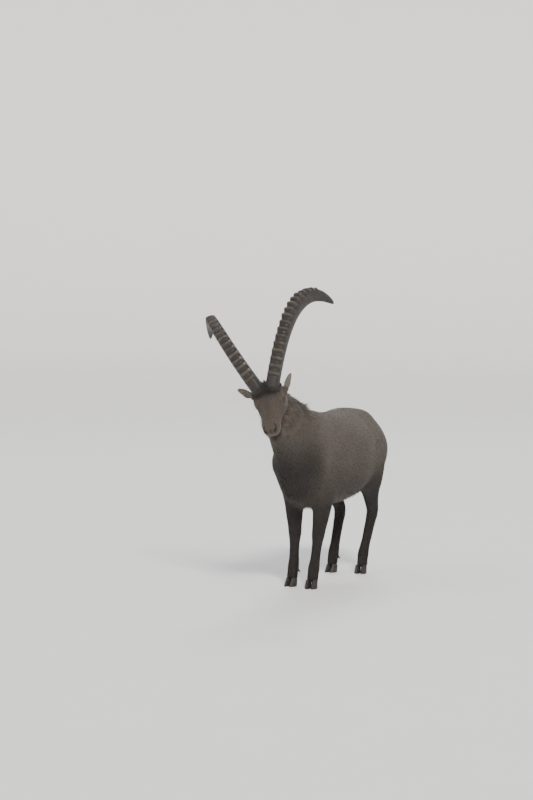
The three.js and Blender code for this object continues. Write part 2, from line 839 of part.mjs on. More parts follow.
function ear(s) {
  const way = earWay(s);
  const open = headWay(...EARS[s].open)
    .projectOnPlane(way)
    .normalize();
  const side = new THREE.Vector3().crossVectors(way, open);
  const root = earRoot(s).addScaledVector(way, 12 + GAP);
  const half = 8;
  const rings = [0, 0.1, 0.22, 0.4, 0.6, 0.78, 0.92, 1].map((t) => {
    const wide = mix(13, 27, smooth(t, 0, 0.42));
    const leaf = wide * Math.sqrt(Math.max(1 - (Math.max(t - 0.42, 0) / 0.58) ** 2.4, 0.02));
    const cup = mix(15, 17, t) * (1 - 0.55 * t) * (leaf / wide);
    const wall = mix(6, 2.6, smooth(t, 0, 0.5)) * (leaf / wide) + 0.9;
    const sink = smooth(t, 0.02, 0.2);
    const centre = root
      .clone()
      .addScaledVector(way, t * EAR)
      .addScaledVector(open, -6 * t * t);
    const ring = [];
    for (let i = 0; i <= half; i++) {
      const a = -Math.PI / 2 + (i / half) * Math.PI;
      ring.push([Math.sin(a) * leaf, -Math.cos(a) * cup]);
    }
    for (let i = half - 1; i > 0; i--) {
      const a = -Math.PI / 2 + (i / half) * Math.PI;
      const inner = -Math.cos(a) * Math.max(cup - wall, 0.4);
      const plug = Math.cos(a) * cup * 0.8;
      ring.push([Math.sin(a) * Math.max(leaf - wall, 0.5), mix(plug, inner, sink)]);
    }
    return ring.map(([x, y]) =>
      centre.clone().addScaledVector(side, x).addScaledVector(open, y),
    );
  });
  return loft(rings);
}

// Eyes, lids, nostrils and mouth

const eyeAt = (s) => inHead(s * 58, 2, 2);
const eyeWay = (s) => headWay(s * 0.9, 0.4, 0.12);

function ball(centre, radius, way, across = 10, up = 8) {
  const geometry = new THREE.SphereGeometry(radius, across, up);
  geometry.applyQuaternion(new THREE.Quaternion().setFromUnitVectors(at(0, -1, 0), way));
  geometry.translate(centre.x, centre.y, centre.z);
  return solid(geometry);
}

// The almond opening between the lids.
function lidOpening(s) {
  const way = eyeWay(s);
  const along = headWay(0, 1, -0.28).projectOnPlane(way).normalize();
  const over = new THREE.Vector3().crossVectors(along, way).normalize();
  const shape = (scale, depth) =>
    Array.from({ length: 12 }, (_, i) => {
      const a = (i / 12) * 2 * Math.PI;
      const high = Math.sin(a) * (1 - 0.35 * Math.cos(a) ** 2) * 10;
      return eyeAt(s)
        .addScaledVector(way, depth)
        .addScaledVector(along, Math.cos(a) * 16 * scale)
        .addScaledVector(over, high * scale);
    });
  return loft([shape(0.7, 6), shape(1, EYE), shape(1.25, EYE + 14)]);
}

// A curved wedge pressed into the side of the nose.
function nostril(s) {
  const nose = HEAD - 105;
  const path = [
    [24, nose - 26, 15, 1.2],
    [31, nose - 15, 9, 3.6],
    [29, nose - 2, 1, 5],
    [20, nose + 7, -5, 4.4],
    [10, nose + 11, -10, 1.8],
  ];
  const way = headWay(s * 0.62, 0.75, 0.1);
  const rings = path.map(([x, y, z, r]) =>
    Array.from({ length: 6 }, (_, i) => {
      const a = (i / 6) * 2 * Math.PI;
      return inHead(s * x, y, z)
        .addScaledVector(headWay(0, 0.3, 1), Math.cos(a) * r)
        .addScaledVector(way, Math.sin(a) * (r + 3.5));
    }),
  );
  return loft(rings);
}

// The slit of the mouth, from one corner round under the nose to the other.
function mouthLine() {
  const nose = HEAD - 105;
  const path = [];
  const count = 14;
  for (let i = 0; i <= count; i++) {
    const a = mix(-1, 1, i / count);
    const round = Math.abs(a);
    const forward = nose + 3 - 98 * round ** 2.2;
    const across = 50 * Math.sign(a) * Math.min(1, round * 1.6) ** 0.8;
    path.push([across, forward, -38 - 9 * round ** 3 - 2 * (1 - round)]);
  }
  const thin = 1.5;
  const rings = path.map(([x, y, z], i) => {
    const inward = at(-x, -(y - (nose - 70)), 0).setLength(i === 0 || i === count ? 10 : 17);
    const deep = [x + inward.x, y - inward.y];
    const out = [x - inward.x, y + inward.y];
    return [
      inHead(out[0], out[1], z - thin * 2),
      inHead(out[0], out[1], z + thin * 2),
      inHead(deep[0], deep[1], z),
    ];
  });
  return loft(rings);
}

// Locks of the beard, the nape, the sheath and the tail

function beard() {
  const draw = stream(7);
  const nose = HEAD - 105;
  const locks = [];
  for (let row = 0; row < 3; row++)
    for (let i = 0; i < 4; i++) {
      const across = (i - 1.5 + (row === 1 ? 0.5 : 0)) * (12 - row) + (draw() - 0.5) * 3;
      const root = inHead(across, nose - 45 - row * 12, -54);
      const fall = at(-across * 0.004, -0.1, -1).normalize();
      const length = mix(50, 64, draw()) - 5 * Math.abs(i - 1.5) + 5 * (row % 2);
      locks.push(lock(root, headWay(across * 0.01, 0.1, -1), fall, FORWARD, length, 24, 19));
    }
  return locks;
}

function nape(field) {
  const draw = stream(23);
  const locks = [];
  for (let i = 0; i < 8; i++)
    for (const row of [-1, 0, 1]) {
      const t = (i + (row ? 0.5 : 0)) / 8;
      const forward = mix(350, 90, t);
      const across = row * 30 + mix(12, 0, t) + (draw() - 0.5) * 8;
      const root = drop(field, at(across, forward, 1150), at(0, 0, -1));
      if (!root) continue;
      const rise = mix(0.22, 0.06, draw());
      const out = at(row * 0.3, -1, rise).normalize();
      const fall = at(row * 0.3 + (draw() - 0.5) * 0.3, -1, -0.12 - 0.25 * t).normalize();
      const length = mix(64, 86, draw()) * (1 - 0.25 * t);
      locks.push(
        lock(root.addScaledVector(UP, -13), out, fall, at(row * 0.4, 0, 1), length, 40, 14),
      );
    }
  return locks;
}

// Where a straight line first meets the field's surface.
function drop(field, from, way) {
  const p = from.clone();
  for (let i = 0; i < 200; i++) {
    const d = field(p);
    if (d < 0.5) return p;
    p.addScaledVector(way, Math.max(d * 0.6, 1));
  }
  return null;
}

function tuft(centre, way, fall, count, spread, length, seed) {
  const draw = stream(seed);
  const side = new THREE.Vector3().crossVectors(way, FORWARD).normalize();
  const other = new THREE.Vector3().crossVectors(way, side).normalize();
  return Array.from({ length: count }, (_, i) => {
    const a = (i / count) * 2 * Math.PI;
    const offset = side
      .clone()
      .multiplyScalar(Math.cos(a) * spread)
      .addScaledVector(other, Math.sin(a) * spread);
    const root = centre.clone().add(offset);
    const out = way.clone().addScaledVector(offset, 0.35 / spread).normalize();
    return lock(root, out, fall, offset.clone().normalize(), mix(0.8, 1, draw()) * length, 15, 8);
  });
}

// The whole body

const legForms = Object.fromEntries(
  Object.entries(LEGS).map(([name, leg]) => [name, legForm(leg)]),
);
const bodyForms = trunkForms();
const skullForms = headForms();
const body = flow([...bodyForms, ...Object.values(legForms), ...skullForms]);
const neckCut = { point: at(0, 152, 783), normal: at(0, 0.815, 0.58) };
const tailCut = { point: at(0, RUMP + 4, WITHERS - 119), normal: at(0, -0.93, -0.36) };

// The block that holds the head: in front of the poll and above the throat.
function headBlock(gap) {
  return beyond(inHead(0, -106, -30), headWay(0, 0.97, 0.25), gap).intersect(
    beyond(inHead(0, -106, -100), headWay(0, -0.1, 1), gap),
  );
}

// The block that holds the tail, no wider than its root.
function tailBlock(gap) {
  const root = tailCut.point;
  const across = Object.values(SIDES).map((s) => beyond(at(s * 42, 0, 0), at(-s, 0, 0), gap));
  const under = beyond(at(0, 0, root.z - 52), UP, gap);
  return across[0]
    .intersect(across[1])
    .intersect(under)
    .intersect(beyond(root, tailCut.normal, gap));
}

function torso() {
  const low = new THREE.Vector3(-270, -340, 370);
  const high = new THREE.Vector3(270, 850, 960);
  let made = net(body, low, high, new THREE.Vector3(39, 41, 38));
  made = made.subtract(beyond(neckCut.point, neckCut.normal, -GAP / 2));
  made = made.subtract(tailBlock(-GAP / 2));
  for (const leg of Object.values(LEGS)) made = made.subtract(legBlock(leg, -GAP / 2));
  return largest(made);
}

function neck() {
  const low = new THREE.Vector3(-220, -560, 540);
  const high = new THREE.Vector3(220, 0, 1120);
  let made = net(body, low, high, new THREE.Vector3(35, 36, 35));
  const back = neckCut.normal.clone().negate();
  made = made.subtract(beyond(neckCut.point, back, -GAP / 2));
  made = made.subtract(headBlock(-GAP / 2));
  for (const piece of nape(body)) made = made.add(piece);
  made = made.subtract(beyond(neckCut.point, back, -GAP / 2));
  made = made.subtract(headBlock(-GAP / 2));
  return largest(made);
}

function head() {
  const low = new THREE.Vector3(-125, -225, -125);
  const high = new THREE.Vector3(125, 170, 150);
  let made = net(body, low, high, new THREE.Vector3(14.2, 16, 14.2), headFrame);
  made = made.intersect(headBlock(GAP / 2));
  for (const s of Object.values(SIDES)) {
    made = made.subtract(hornSeat(s));
    made = made.subtract(beyond(earRoot(s).addScaledVector(earWay(s), 12), earWay(s), 0, 60));
    made = made.add(ball(eyeAt(s), EYE + 3.6, eyeWay(s)));
    made = made.subtract(ball(eyeAt(s), EYE + GAP, eyeWay(s)));
    made = made.subtract(lidOpening(s)).subtract(nostril(s));
  }
  made = made.subtract(mouthLine());
  for (const piece of beard()) made = made.add(piece);
  return largest(made);
}

function limb(name) {
  const leg = LEGS[name];
  const form = legForms[name];
  const box = form.box;
  const top = leg.fore ? 590 : 690;
  const low = new THREE.Vector3(box.min.x - 40, box.min.y - 50, 18);
  const high = new THREE.Vector3(box.max.x + 40, box.max.y + 50, top);
  const cell = leg.fore ? new THREE.Vector3(17, 18, 30) : new THREE.Vector3(20, 21, 32);
  let made = net(body, low, high, cell);
  made = made.intersect(legBlock(leg, GAP / 2));
  const { point, normal } = coronet(leg);
  made = made.subtract(beyond(point, normal.clone().negate(), -GAP));
  for (const half of [-1, 1]) made = made.subtract(peg(dewclawSeat(leg, half), 11, 0, 40, 11));
  return largest(made);
}

function tail() {
  const root = tailCut.point;
  const forms = [
    new Form(
      [
        { p: root.clone().addScaledVector(tailCut.normal, -20), wide: 29, over: 25 },
        { p: at(0, RUMP - 18, WITHERS - 140), wide: 30, over: 21 },
        { p: at(0, RUMP - 32, WITHERS - 140 - TAIL * 0.45), wide: 27, over: 17 },
        { p: at(0, RUMP - 34, WITHERS - 140 - TAIL * 0.8), wide: 17, over: 12 },
      ],
      { hint: at(0, -1, 0), steps: 4 },
    ),
  ];
  const low = new THREE.Vector3(-60, -RUMP - 60, WITHERS - TAIL - 190);
  const high = new THREE.Vector3(60, -RUMP + 120, WITHERS - 60);
  let made = net(flow(forms), low, high, new THREE.Vector3(16, 16, 20));
  made = made.subtract(beyond(root, tailCut.normal.clone().negate(), -GAP / 2));
  const end = at(0, RUMP - 33, WITHERS - 140 - TAIL * 0.66);
  for (const piece of tuft(end, at(0, -0.12, -1).normalize(), at(0, -0.04, -1), 8, 9, 62, 5))
    made = made.add(piece);
  return largest(made);
}

// Materials

const coat = (color) => new THREE.MeshStandardMaterial({ color, roughness: 0.95, metalness: 0 });
const FINISH = {
  coat: coat(0x3a3029),
  darkCoat: coat(0x231b17),
  face: coat(0x453a32),
  horn: new THREE.MeshStandardMaterial({ color: 0x2c2823, roughness: 0.7, metalness: 0 }),
  hoof: new THREE.MeshStandardMaterial({ color: 0x191614, roughness: 0.5, metalness: 0 }),
  eye: new THREE.MeshStandardMaterial({ color: 0x4a3015, roughness: 0.08, metalness: 0 }),
};

const ibex = new THREE.Group();

function node(name, made, finish) {
  const mesh = new THREE.Mesh(geometryOf(made), finish);
  mesh.name = name;
  ibex.add(mesh);
}

node("torso", torso(), FINISH.coat);
node("neck", neck(), FINISH.coat);
node("head", head(), FINISH.face);
node("tail", tail(), FINISH.darkCoat);
for (const [side, s] of Object.entries(SIDES)) {
  node(`horn_${side}`, horn(s), FINISH.horn);
  node(`ear_${side}`, ear(s), FINISH.face);
  node(`eye_${side}`, ball(eyeAt(s), EYE, eyeWay(s)), FINISH.eye);
}
for (const [name, leg] of Object.entries(LEGS)) {
  node(name, limb(name), FINISH.darkCoat);
  for (const [half, label] of [
    [leg.side, "outer"],
    [-leg.side, "inner"],
  ]) {
    node(`${name}_claw_${label}`, claw(leg, half), FINISH.hoof);
    node(`${name}_dewclaw_${label}`, peg(dewclawSeat(leg, half), 8.5, GAP, 22, 3.4), FINISH.hoof);
  }
}

// The origin is under the middle of the whole animal, on the floor.
const bounds = new THREE.Box3().setFromObject(ibex);
ibex.position.set(-(bounds.min.x + bounds.max.x) / 2, -(bounds.min.y + bounds.max.y) / 2, 0);

export default ibex;
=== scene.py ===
"""A life-size alpine ibex, an adult male, standing with its head turned and tilted to one side.

The skin, coat, horns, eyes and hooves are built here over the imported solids, in the same frame.
Lengths in the classes are millimetres, given as left, forward and up from the floor under the
withers, and meshes are metres in the row's own frame.
"""

import logging
import math
from dataclasses import dataclass, field
from enum import Enum
from functools import partial

import bmesh
import bpy
import numpy as np
from bpy.types import Material, Mesh, Node, NodeSocket, Object
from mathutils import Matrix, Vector
from mathutils.bvhtree import BVHTree

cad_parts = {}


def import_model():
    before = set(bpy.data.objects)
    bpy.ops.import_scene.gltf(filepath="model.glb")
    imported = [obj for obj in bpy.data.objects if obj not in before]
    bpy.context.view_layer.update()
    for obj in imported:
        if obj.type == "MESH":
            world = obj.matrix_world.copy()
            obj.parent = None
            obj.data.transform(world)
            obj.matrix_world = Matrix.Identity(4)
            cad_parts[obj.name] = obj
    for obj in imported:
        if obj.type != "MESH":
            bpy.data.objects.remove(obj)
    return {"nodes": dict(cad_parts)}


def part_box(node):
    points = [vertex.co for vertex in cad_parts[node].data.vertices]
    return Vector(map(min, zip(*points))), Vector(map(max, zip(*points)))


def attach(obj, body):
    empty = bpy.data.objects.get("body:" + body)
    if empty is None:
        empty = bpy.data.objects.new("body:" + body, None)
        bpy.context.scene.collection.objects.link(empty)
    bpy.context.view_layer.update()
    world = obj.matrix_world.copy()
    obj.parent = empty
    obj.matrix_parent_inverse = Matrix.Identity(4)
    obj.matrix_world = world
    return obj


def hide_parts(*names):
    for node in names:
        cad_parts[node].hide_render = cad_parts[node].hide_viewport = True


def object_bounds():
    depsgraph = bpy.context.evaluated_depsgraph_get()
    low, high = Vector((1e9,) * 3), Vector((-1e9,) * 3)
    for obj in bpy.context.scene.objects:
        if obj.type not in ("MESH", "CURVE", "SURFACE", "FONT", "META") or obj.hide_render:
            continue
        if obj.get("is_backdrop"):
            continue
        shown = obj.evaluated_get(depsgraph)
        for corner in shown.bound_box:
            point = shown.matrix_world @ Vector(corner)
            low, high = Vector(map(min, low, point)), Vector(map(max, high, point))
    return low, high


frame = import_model()
LOG = logging.getLogger("ibex")
Array = np.ndarray
Colour = tuple[float, float, float]
Place = tuple[float, float, float]
Rng = np.random.Generator
SIDES = {1: "left", -1: "right"}
BARE = 999.0  # a spacing that leaves a place without hair


class Region(Enum):
    """The parts of the body that the skin runs over, by the solids that they lie on."""

    TORSO = ("torso",)
    NECK = ("neck",)
    HEAD = ("head",)
    EAR = ("ear_left", "ear_right")
    TAIL = ("tail",)
    FORELEG = ("foreleg_left", "foreleg_right")
    HINDLEG = ("hindleg_left", "hindleg_right")


def unit(v: Array) -> Array:
    """Vectors scaled to length one."""
    return v / np.maximum(np.linalg.norm(v, axis=-1, keepdims=True), 1e-9)


def norm(v: Array) -> Array:
    """The length of each row."""
    return np.linalg.norm(v, axis=1)


def ramp(x: Array | float, low: float, high: float) -> Array:
    """A smooth step from 0 at low to 1 at high; low may be above high."""
    t = np.clip((np.asarray(x, float) - low) / (high - low), 0.0, 1.0)
    return t * t * (3 - 2 * t)


def bump(x: Array, centre: float, width: float) -> Array:
    """A smooth hill of height one at centre, about width to each side."""
    return np.exp(-(((np.asarray(x, float) - centre) / width) ** 2))


def blend(base: Array, tone: Colour | Array, share: Array) -> Array:
    """Mixes a tone into rows of colours by each row's share."""
    return base * (1 - share[:, None]) + np.asarray(tone) * share[:, None]


def put(node: Node, **values: object) -> Node:
    """Sets inputs of a node by name.

    Args:
        node: the node.
        values: a value for each input, with underscores for the spaces in its name.

    Returns:
        The same node.
    """
    for key, value in values.items():
        node.inputs[key.replace("_", " ")].default_value = value
    return node


@dataclass(frozen=True)
class Stance:
    """Where the head is held, and the change from body millimetres to the row's metres.

    The head's place is the point midway between the eyes.
    """

    head_at: Place = (20.0, 470.0, 981.0)
    turn: float = 25.8
    drop: float = 41.1
    tilt: float = 21.4
    eye_out: float = 58.0
    eye_forward: float = 2.0
    eye_up: float = 2.0
    eye_radius: float = 19.0
    gaze: Place = (0.9, 0.4, 0.12)
    ear_root: Place = (81.0, -66.0, -5.0)
    withers: float = 905.0

    def axes(self) -> Array:
        """The head's left, forward and up directions as rows, in the row's frame."""
        yaw, drop, tilt = (math.radians(v) for v in (self.turn, self.drop, self.tilt))
        ahead = np.array([math.sin(yaw), -math.cos(yaw), 0.0])
        muzzle = ahead * math.cos(drop) - [0.0, 0.0, math.sin(drop)]
        level = np.array([math.cos(yaw), math.sin(yaw), 0.0])
        left = level * math.cos(tilt) + np.cross(muzzle, level) * math.sin(tilt)
        return np.array([left, muzzle, np.cross(muzzle, left)])

    def origin(self) -> Array:
        """The row-frame place, in metres, of the floor under the withers."""
        mid = sum(
            (np.array(lo) + np.array(hi)) / 2
            for lo, hi in (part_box("eye_left"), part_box("eye_right"))
        )
        local = np.array([0.0, self.eye_forward, self.eye_up]) @ self.axes()
        left, forward, up = self.head_at
        place = np.array([left, -forward, up]) + local
        shift = mid / 2 - place / 1000.0
        return np.array([shift[0], shift[1], 0.0])

    def at(self, left: float, forward: float, up: float) -> Array:
        """A place of the body, in metres in the row's frame."""
        return self.origin() + np.array([left, -forward, up]) / 1000.0

    def in_head(self, left: float, forward: float, up: float) -> Array:
        """A place of the head, in metres in the row's frame."""
        return self.at(*self.head_at) + np.array([left, forward, up]) @ self.axes() / 1000.0

    def body(self, points: Array) -> Array:
        """Row-frame points as left, forward and up of the body, in millimetres."""
        q = (points - self.origin()) * 1000.0
        return q * np.array([1.0, -1.0, 1.0])

    def head(self, points: Array) -> Array:
        """Row-frame points as left, forward and up of the head, in millimetres."""
        return (points - self.at(*self.head_at)) @ self.axes().T * 1000.0

    def eye(self, side: int) -> Array:
        """The middle of an eyeball in the head's frame; side is 1 for the left, -1 for the right."""
        return np.array([side * self.eye_out, self.eye_forward, self.eye_up])

    def look(self, side: int) -> Array:
        """The way that an eye looks, in the head's frame."""
        return unit(np.array([side * self.gaze[0], *self.gaze[1:]]))

    def ear_reach(self, q: Array) -> Array:
        """How far points of the head are from the root of their ear."""
        return norm(np.c_[np.abs(q[:, 0]), q[:, 1:]] - self.ear_root)


class Kit:
    """Small tools that turn arrays into meshes and back."""

    @staticmethod
    def link(name: str, data: bpy.types.ID) -> Object:
        """Puts an object with the given data in the scene."""
        obj = bpy.data.objects.new(name, data)
        bpy.context.scene.collection.objects.link(obj)
        return obj

    @staticmethod
    def make(
        name: str, verts: Array, faces: Array, material: Material | None = None
    ) -> Object:
        """Builds a smooth object from arrays.

        Args:
            name: the object's name.
            verts: points, in metres.
            faces: indices, all faces with the same number of corners.
            material: the finish, if any.

        Returns:
            The object, linked to the scene.
        """
        mesh = bpy.data.meshes.new(name)
        count, corners = faces.shape
        mesh.vertices.add(len(verts))
        mesh.vertices.foreach_set("co", np.asarray(verts, np.float32).ravel())
        mesh.loops.add(count * corners)
        mesh.loops.foreach_set("vertex_index", np.asarray(faces, np.int32).ravel())
        mesh.polygons.add(count)
        mesh.polygons.foreach_set("loop_start", np.arange(0, count * corners, corners, dtype=np.int32))
        Kit.smooth(mesh)
        mesh.update(calc_edges=True)
        mesh.validate()
        if material:
            mesh.materials.append(material)
        return Kit.link(name, mesh)

    @staticmethod
    def smooth(mesh: Mesh) -> None:
        """Shades all of a mesh's faces smooth."""
        mesh.polygons.foreach_set("use_smooth", np.full(len(mesh.polygons), True))

    @staticmethod
    def tube(rings: int, around: int) -> Array:
        """Triangles of a run of rings that closes on a point at each end.

        Args:
            rings: how many rings there are, one after another in the points.
            around: points on a ring; the two end points come after the rings.

        Returns:
            The triangles of the wall, then those of the first end and of the last.
        """
        k = np.arange(around)
        beside = (k + 1) % around
        start = np.arange(rings - 1)[:, None] * around
        a, b = start + k, start + beside
        lower = np.stack([a, a + around, b + around], -1).reshape(-1, 3)
        upper = np.stack([a, b + around, b], -1).reshape(-1, 3)
        last = (rings - 1) * around
        first_end = np.stack([np.full(around, rings * around), k, beside], 1)
        last_end = np.stack([np.full(around, rings * around + 1), last + beside, last + k], 1)
        return np.concatenate([lower, upper, first_end, last_end])

    @staticmethod
    def read(items: bpy.types.bpy_prop_collection, name: str, kind: type, width: int = 3) -> Array:
        """Reads one value of every item of a mesh.

        Args:
            items: a collection of the mesh, such as its vertices.
            name: the value's name.
            kind: the type of its numbers.
            width: how many numbers it has.

        Returns:
            A row for each item.
        """
        out = np.empty(len(items) * width, kind)
        items.foreach_get(name, out)
        return out.reshape(-1, width)

    @staticmethod
    def points(mesh: Mesh) -> Array:
        """The mesh's vertices as rows."""
        return Kit.read(mesh.vertices, "co", np.float32).astype(float)

    @staticmethod
    def normals(mesh: Mesh) -> Array:
        """The mesh's vertex normals as rows."""
        return Kit.read(mesh.vertex_normals, "vector", np.float32).astype(float)

    @staticmethod
    def edges(mesh: Mesh) -> Array:
        """The mesh's edges as pairs of vertex numbers."""
        return Kit.read(mesh.edges, "vertices", np.int32, 2)

    @staticmethod
    def triangles(mesh: Mesh) -> Array:
        """The mesh's triangles as vertex numbers."""
        mesh.calc_loop_triangles()
        return Kit.read(mesh.loop_triangles, "vertices", np.int32)

    @staticmethod
    def place(mesh: Mesh, points: Array) -> None:
        """Moves the mesh's vertices."""
        mesh.vertices.foreach_set("co", np.asarray(points, np.float32).ravel())
        mesh.update()

    @staticmethod
    def merged(node: str) -> tuple[Array, Array]:
        """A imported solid's surface with its loose triangles joined.

        Args:
            node: the solid's name.

        Returns:
            Its points and its triangles.
        """
        mesh = frame["nodes"][node].data
        co = Kit.points(mesh)
        _, first, back = np.unique(
            np.round(co * 1e6).astype(np.int64), axis=0, return_index=True, return_inverse=True
        )
        return co[first], back.ravel()[Kit.triangles(mesh)]

    @staticmethod
    def evaluated(obj: Object) -> Mesh:
        """A plain mesh of the object with its modifiers applied."""
        graph = bpy.context.evaluated_depsgraph_get()
        graph.update()
        return bpy.data.meshes.new_from_object(obj.evaluated_get(graph), depsgraph=graph)

    @staticmethod
    def apply(obj: Object) -> None:
        """Turns an object's modifiers into its mesh.

        Args:
            obj: the object.
        """
        mesh = Kit.evaluated(obj)
        obj.modifiers.clear()
        old = obj.data
        obj.data = mesh
        bpy.data.meshes.remove(old)

    @staticmethod
    def relax(values: Array, edges: Array, weight: Array | float, rounds: int) -> Array:
        """Draws each vertex's values towards its neighbours' mean.

        Args:
            values: one row per vertex.
            edges: pairs of vertex numbers.
            weight: how far to go each time, from 0 to 1, for all or for each vertex.
            rounds: how many times.

        Returns:
            The smoothed values.
        """
        n = len(values)
        a = np.concatenate([edges[:, 0], edges[:, 1]])
        b = np.concatenate([edges[:, 1], edges[:, 0]])
        degree = np.maximum(np.bincount(a, minlength=n), 1)
        weight = np.broadcast_to(np.asarray(weight, float), (n,))
        out = values.astype(float).copy()
        for _ in range(rounds):
            for k in range(out.shape[1]):
                mean = np.bincount(a, out[b, k], minlength=n) / degree
                out[:, k] += (mean - out[:, k]) * weight
        return out

    @staticmethod
    def attribute(mesh: Mesh, name: str, kind: str, values: Array) -> None:
        """Stores values on a mesh's vertices.

        Args:
            mesh: the mesh.
            name: what the values are called.
            kind: FLOAT, FLOAT_VECTOR or FLOAT_COLOR.
            values: a number or a row for each vertex.
        """
        layer = mesh.attributes.new(name, kind, "POINT")
        key = {"FLOAT": "value", "FLOAT_VECTOR": "vector", "FLOAT_COLOR": "color"}[kind]
        layer.data.foreach_set(key, np.asarray(values, np.float32).ravel())


class Shader:
    """A material's node tree, with short ways to add nodes."""

    def __init__(self, name: str) -> None:
        """Makes a material with one Principled shader."""
        self.material = bpy.data.materials.new(name)
        self.material.use_nodes = True
        self.tree = self.material.node_tree
        self.shader = self.tree.nodes["Principled BSDF"]

    def node(self, kind: str, **values: object) -> Node:
        """Adds a node.

        Args:
            kind: the node's type, without the words that all begin with.
            values: its own settings; one named in_ and a number goes to that input.

        Returns:
            The node.
        """
        made = self.tree.nodes.new(f"ShaderNode{kind}")
        for key, value in values.items():
            if key.startswith("in_"):
                made.inputs[int(key[3:])].default_value = value
            else:
                setattr(made, key, value)
        return made

    def link(self, a: NodeSocket, b: NodeSocket) -> None:
        """Joins an output to an input."""
        self.tree.links.new(a, b)

    def attribute(self, name: str) -> bpy.types.NodeOutputs:
        """The outputs that read a named attribute of the mesh."""
        return self.node("Attribute", attribute_name=name).outputs

    def coordinates(self) -> NodeSocket:
        """The object coordinates."""
        return self.node("TexCoord").outputs["Object"]

    def noise(self, scale: float, detail: float = 3.0, stretch: Colour = (1, 1, 1)) -> Node:
        """A noise texture on object coordinates.

        Args:
            scale: how fine it is.
            detail: how many finer layers it has.
            stretch: the scale along each axis.

        Returns:
            The texture's node.
        """
        turn = put(self.node("Mapping"), Scale=stretch)
        self.link(self.coordinates(), turn.inputs["Vector"])
        made = put(self.node("TexNoise"), Scale=scale, Detail=detail)
        self.link(turn.outputs["Vector"], made.inputs["Vector"])
        return made

    def spread(self, value: NodeSocket, low: float, high: float) -> NodeSocket:
        """A value from 0 to 1 spread between low and high."""
        made = put(self.node("MapRange"), To_Min=low, To_Max=high)
        self.link(value, made.inputs["Value"])
        return made.outputs["Result"]

    def times(self, colour: NodeSocket, amount: NodeSocket) -> NodeSocket:
        """A colour made lighter or darker by a number."""
        made = self.node("VectorMath", operation="SCALE")
        self.link(colour, made.inputs[0])
        self.link(amount, made.inputs["Scale"])
        return made.outputs[0]

    def mix(
        self,
        share: NodeSocket,
        a: Colour | NodeSocket,
        b: Colour | NodeSocket,
    ) -> NodeSocket:
        """Mixes two colours.

        Args:
            share: how much there is of the second, from 0 to 1.
            a: the first colour, or the socket that carries it.
            b: the second.

        Returns:
            The mixed colour's socket.
        """
        made = self.node("Mix", data_type="RGBA")
        self.link(share, made.inputs["Factor"])
        for value, socket in ((a, made.inputs[6]), (b, made.inputs[7])):
            if isinstance(value, tuple):
                socket.default_value = (*value, 1.0)
            else:
                self.link(value, socket)
        return made.outputs[2]

    def height(self, value: NodeSocket, distance: float, strength: float = 1.0) -> None:
        """Uses a value as the surface's fine relief, on top of any that is there.

        Args:
            value: the socket that carries it.
            distance: the relief's height, in metres.
            strength: how much of it shows.
        """
        made = put(self.node("Bump"), Strength=strength, Distance=distance)
        socket = self.shader.inputs["Normal"]
        if socket.is_linked:
            self.link(socket.links[0].from_socket, made.inputs["Normal"])
        self.link(value, made.inputs["Height"])
        self.link(made.outputs["Normal"], socket)

    def set(self, **values: object) -> None:
        """Sets the Principled shader's own sockets, with underscores for spaces."""
        put(self.shader, **values)


@dataclass(frozen=True)
class SkinFinish:
    """Short close hair on skin, with bare leather where the bare attribute is one."""

    roughness: float = 0.82
    relief: float = 0.0012
    leather: Colour = (0.012, 0.01, 0.01)
    leather_roughness: float = 0.42

    def build(self) -> Material:
        """Makes the material.

        Returns:
            The material.
        """
        s = Shader("close_coat")
        tint = s.attribute("marking")["Color"]
        bare = s.attribute("bare")["Fac"]
        fine = s.noise(900.0, 2.0, (1.0, 1.0, 0.35))
        broad = s.noise(22.0, 4.0)
        shade = s.spread(fine.outputs["Fac"], 0.62, 1.3)
        patchy = s.spread(broad.outputs["Fac"], 0.8, 1.2)
        colour = s.times(s.times(tint, shade), patchy)
        s.link(s.mix(bare, colour, self.leather), s.shader.inputs["Base Color"])
        s.link(s.spread(bare, self.roughness, self.leather_roughness), s.shader.inputs["Roughness"])
        s.height(fine.outputs["Fac"], self.relief, 0.6)
        s.set(Specular_IOR_Level=0.3, Sheen_Weight=0.12, Sheen_Roughness=0.5)
        return s.material


@dataclass(frozen=True)
class HairFinish:
    """Hair in tufts, paler towards the tips, with a different shade for each tuft."""

    name: str = "hair"
    roughness: float = 0.72

    def build(self) -> Material:
        """Makes the material.

        Returns:
            The material.
        """
        s = Shader(self.name)
        tint = s.attribute("marking")["Color"]
        streak = s.noise(1400.0, 2.0, (1.0, 1.0, 0.3))
        shade = s.spread(streak.outputs["Fac"], 0.75, 1.22)
        s.link(s.times(tint, shade), s.shader.inputs["Base Color"])
        s.set(Roughness=self.roughness, Specular_IOR_Level=0.35, Sheen_Weight=0.1)
        s.height(streak.outputs["Fac"], 0.0006, 0.5)
        return s.material


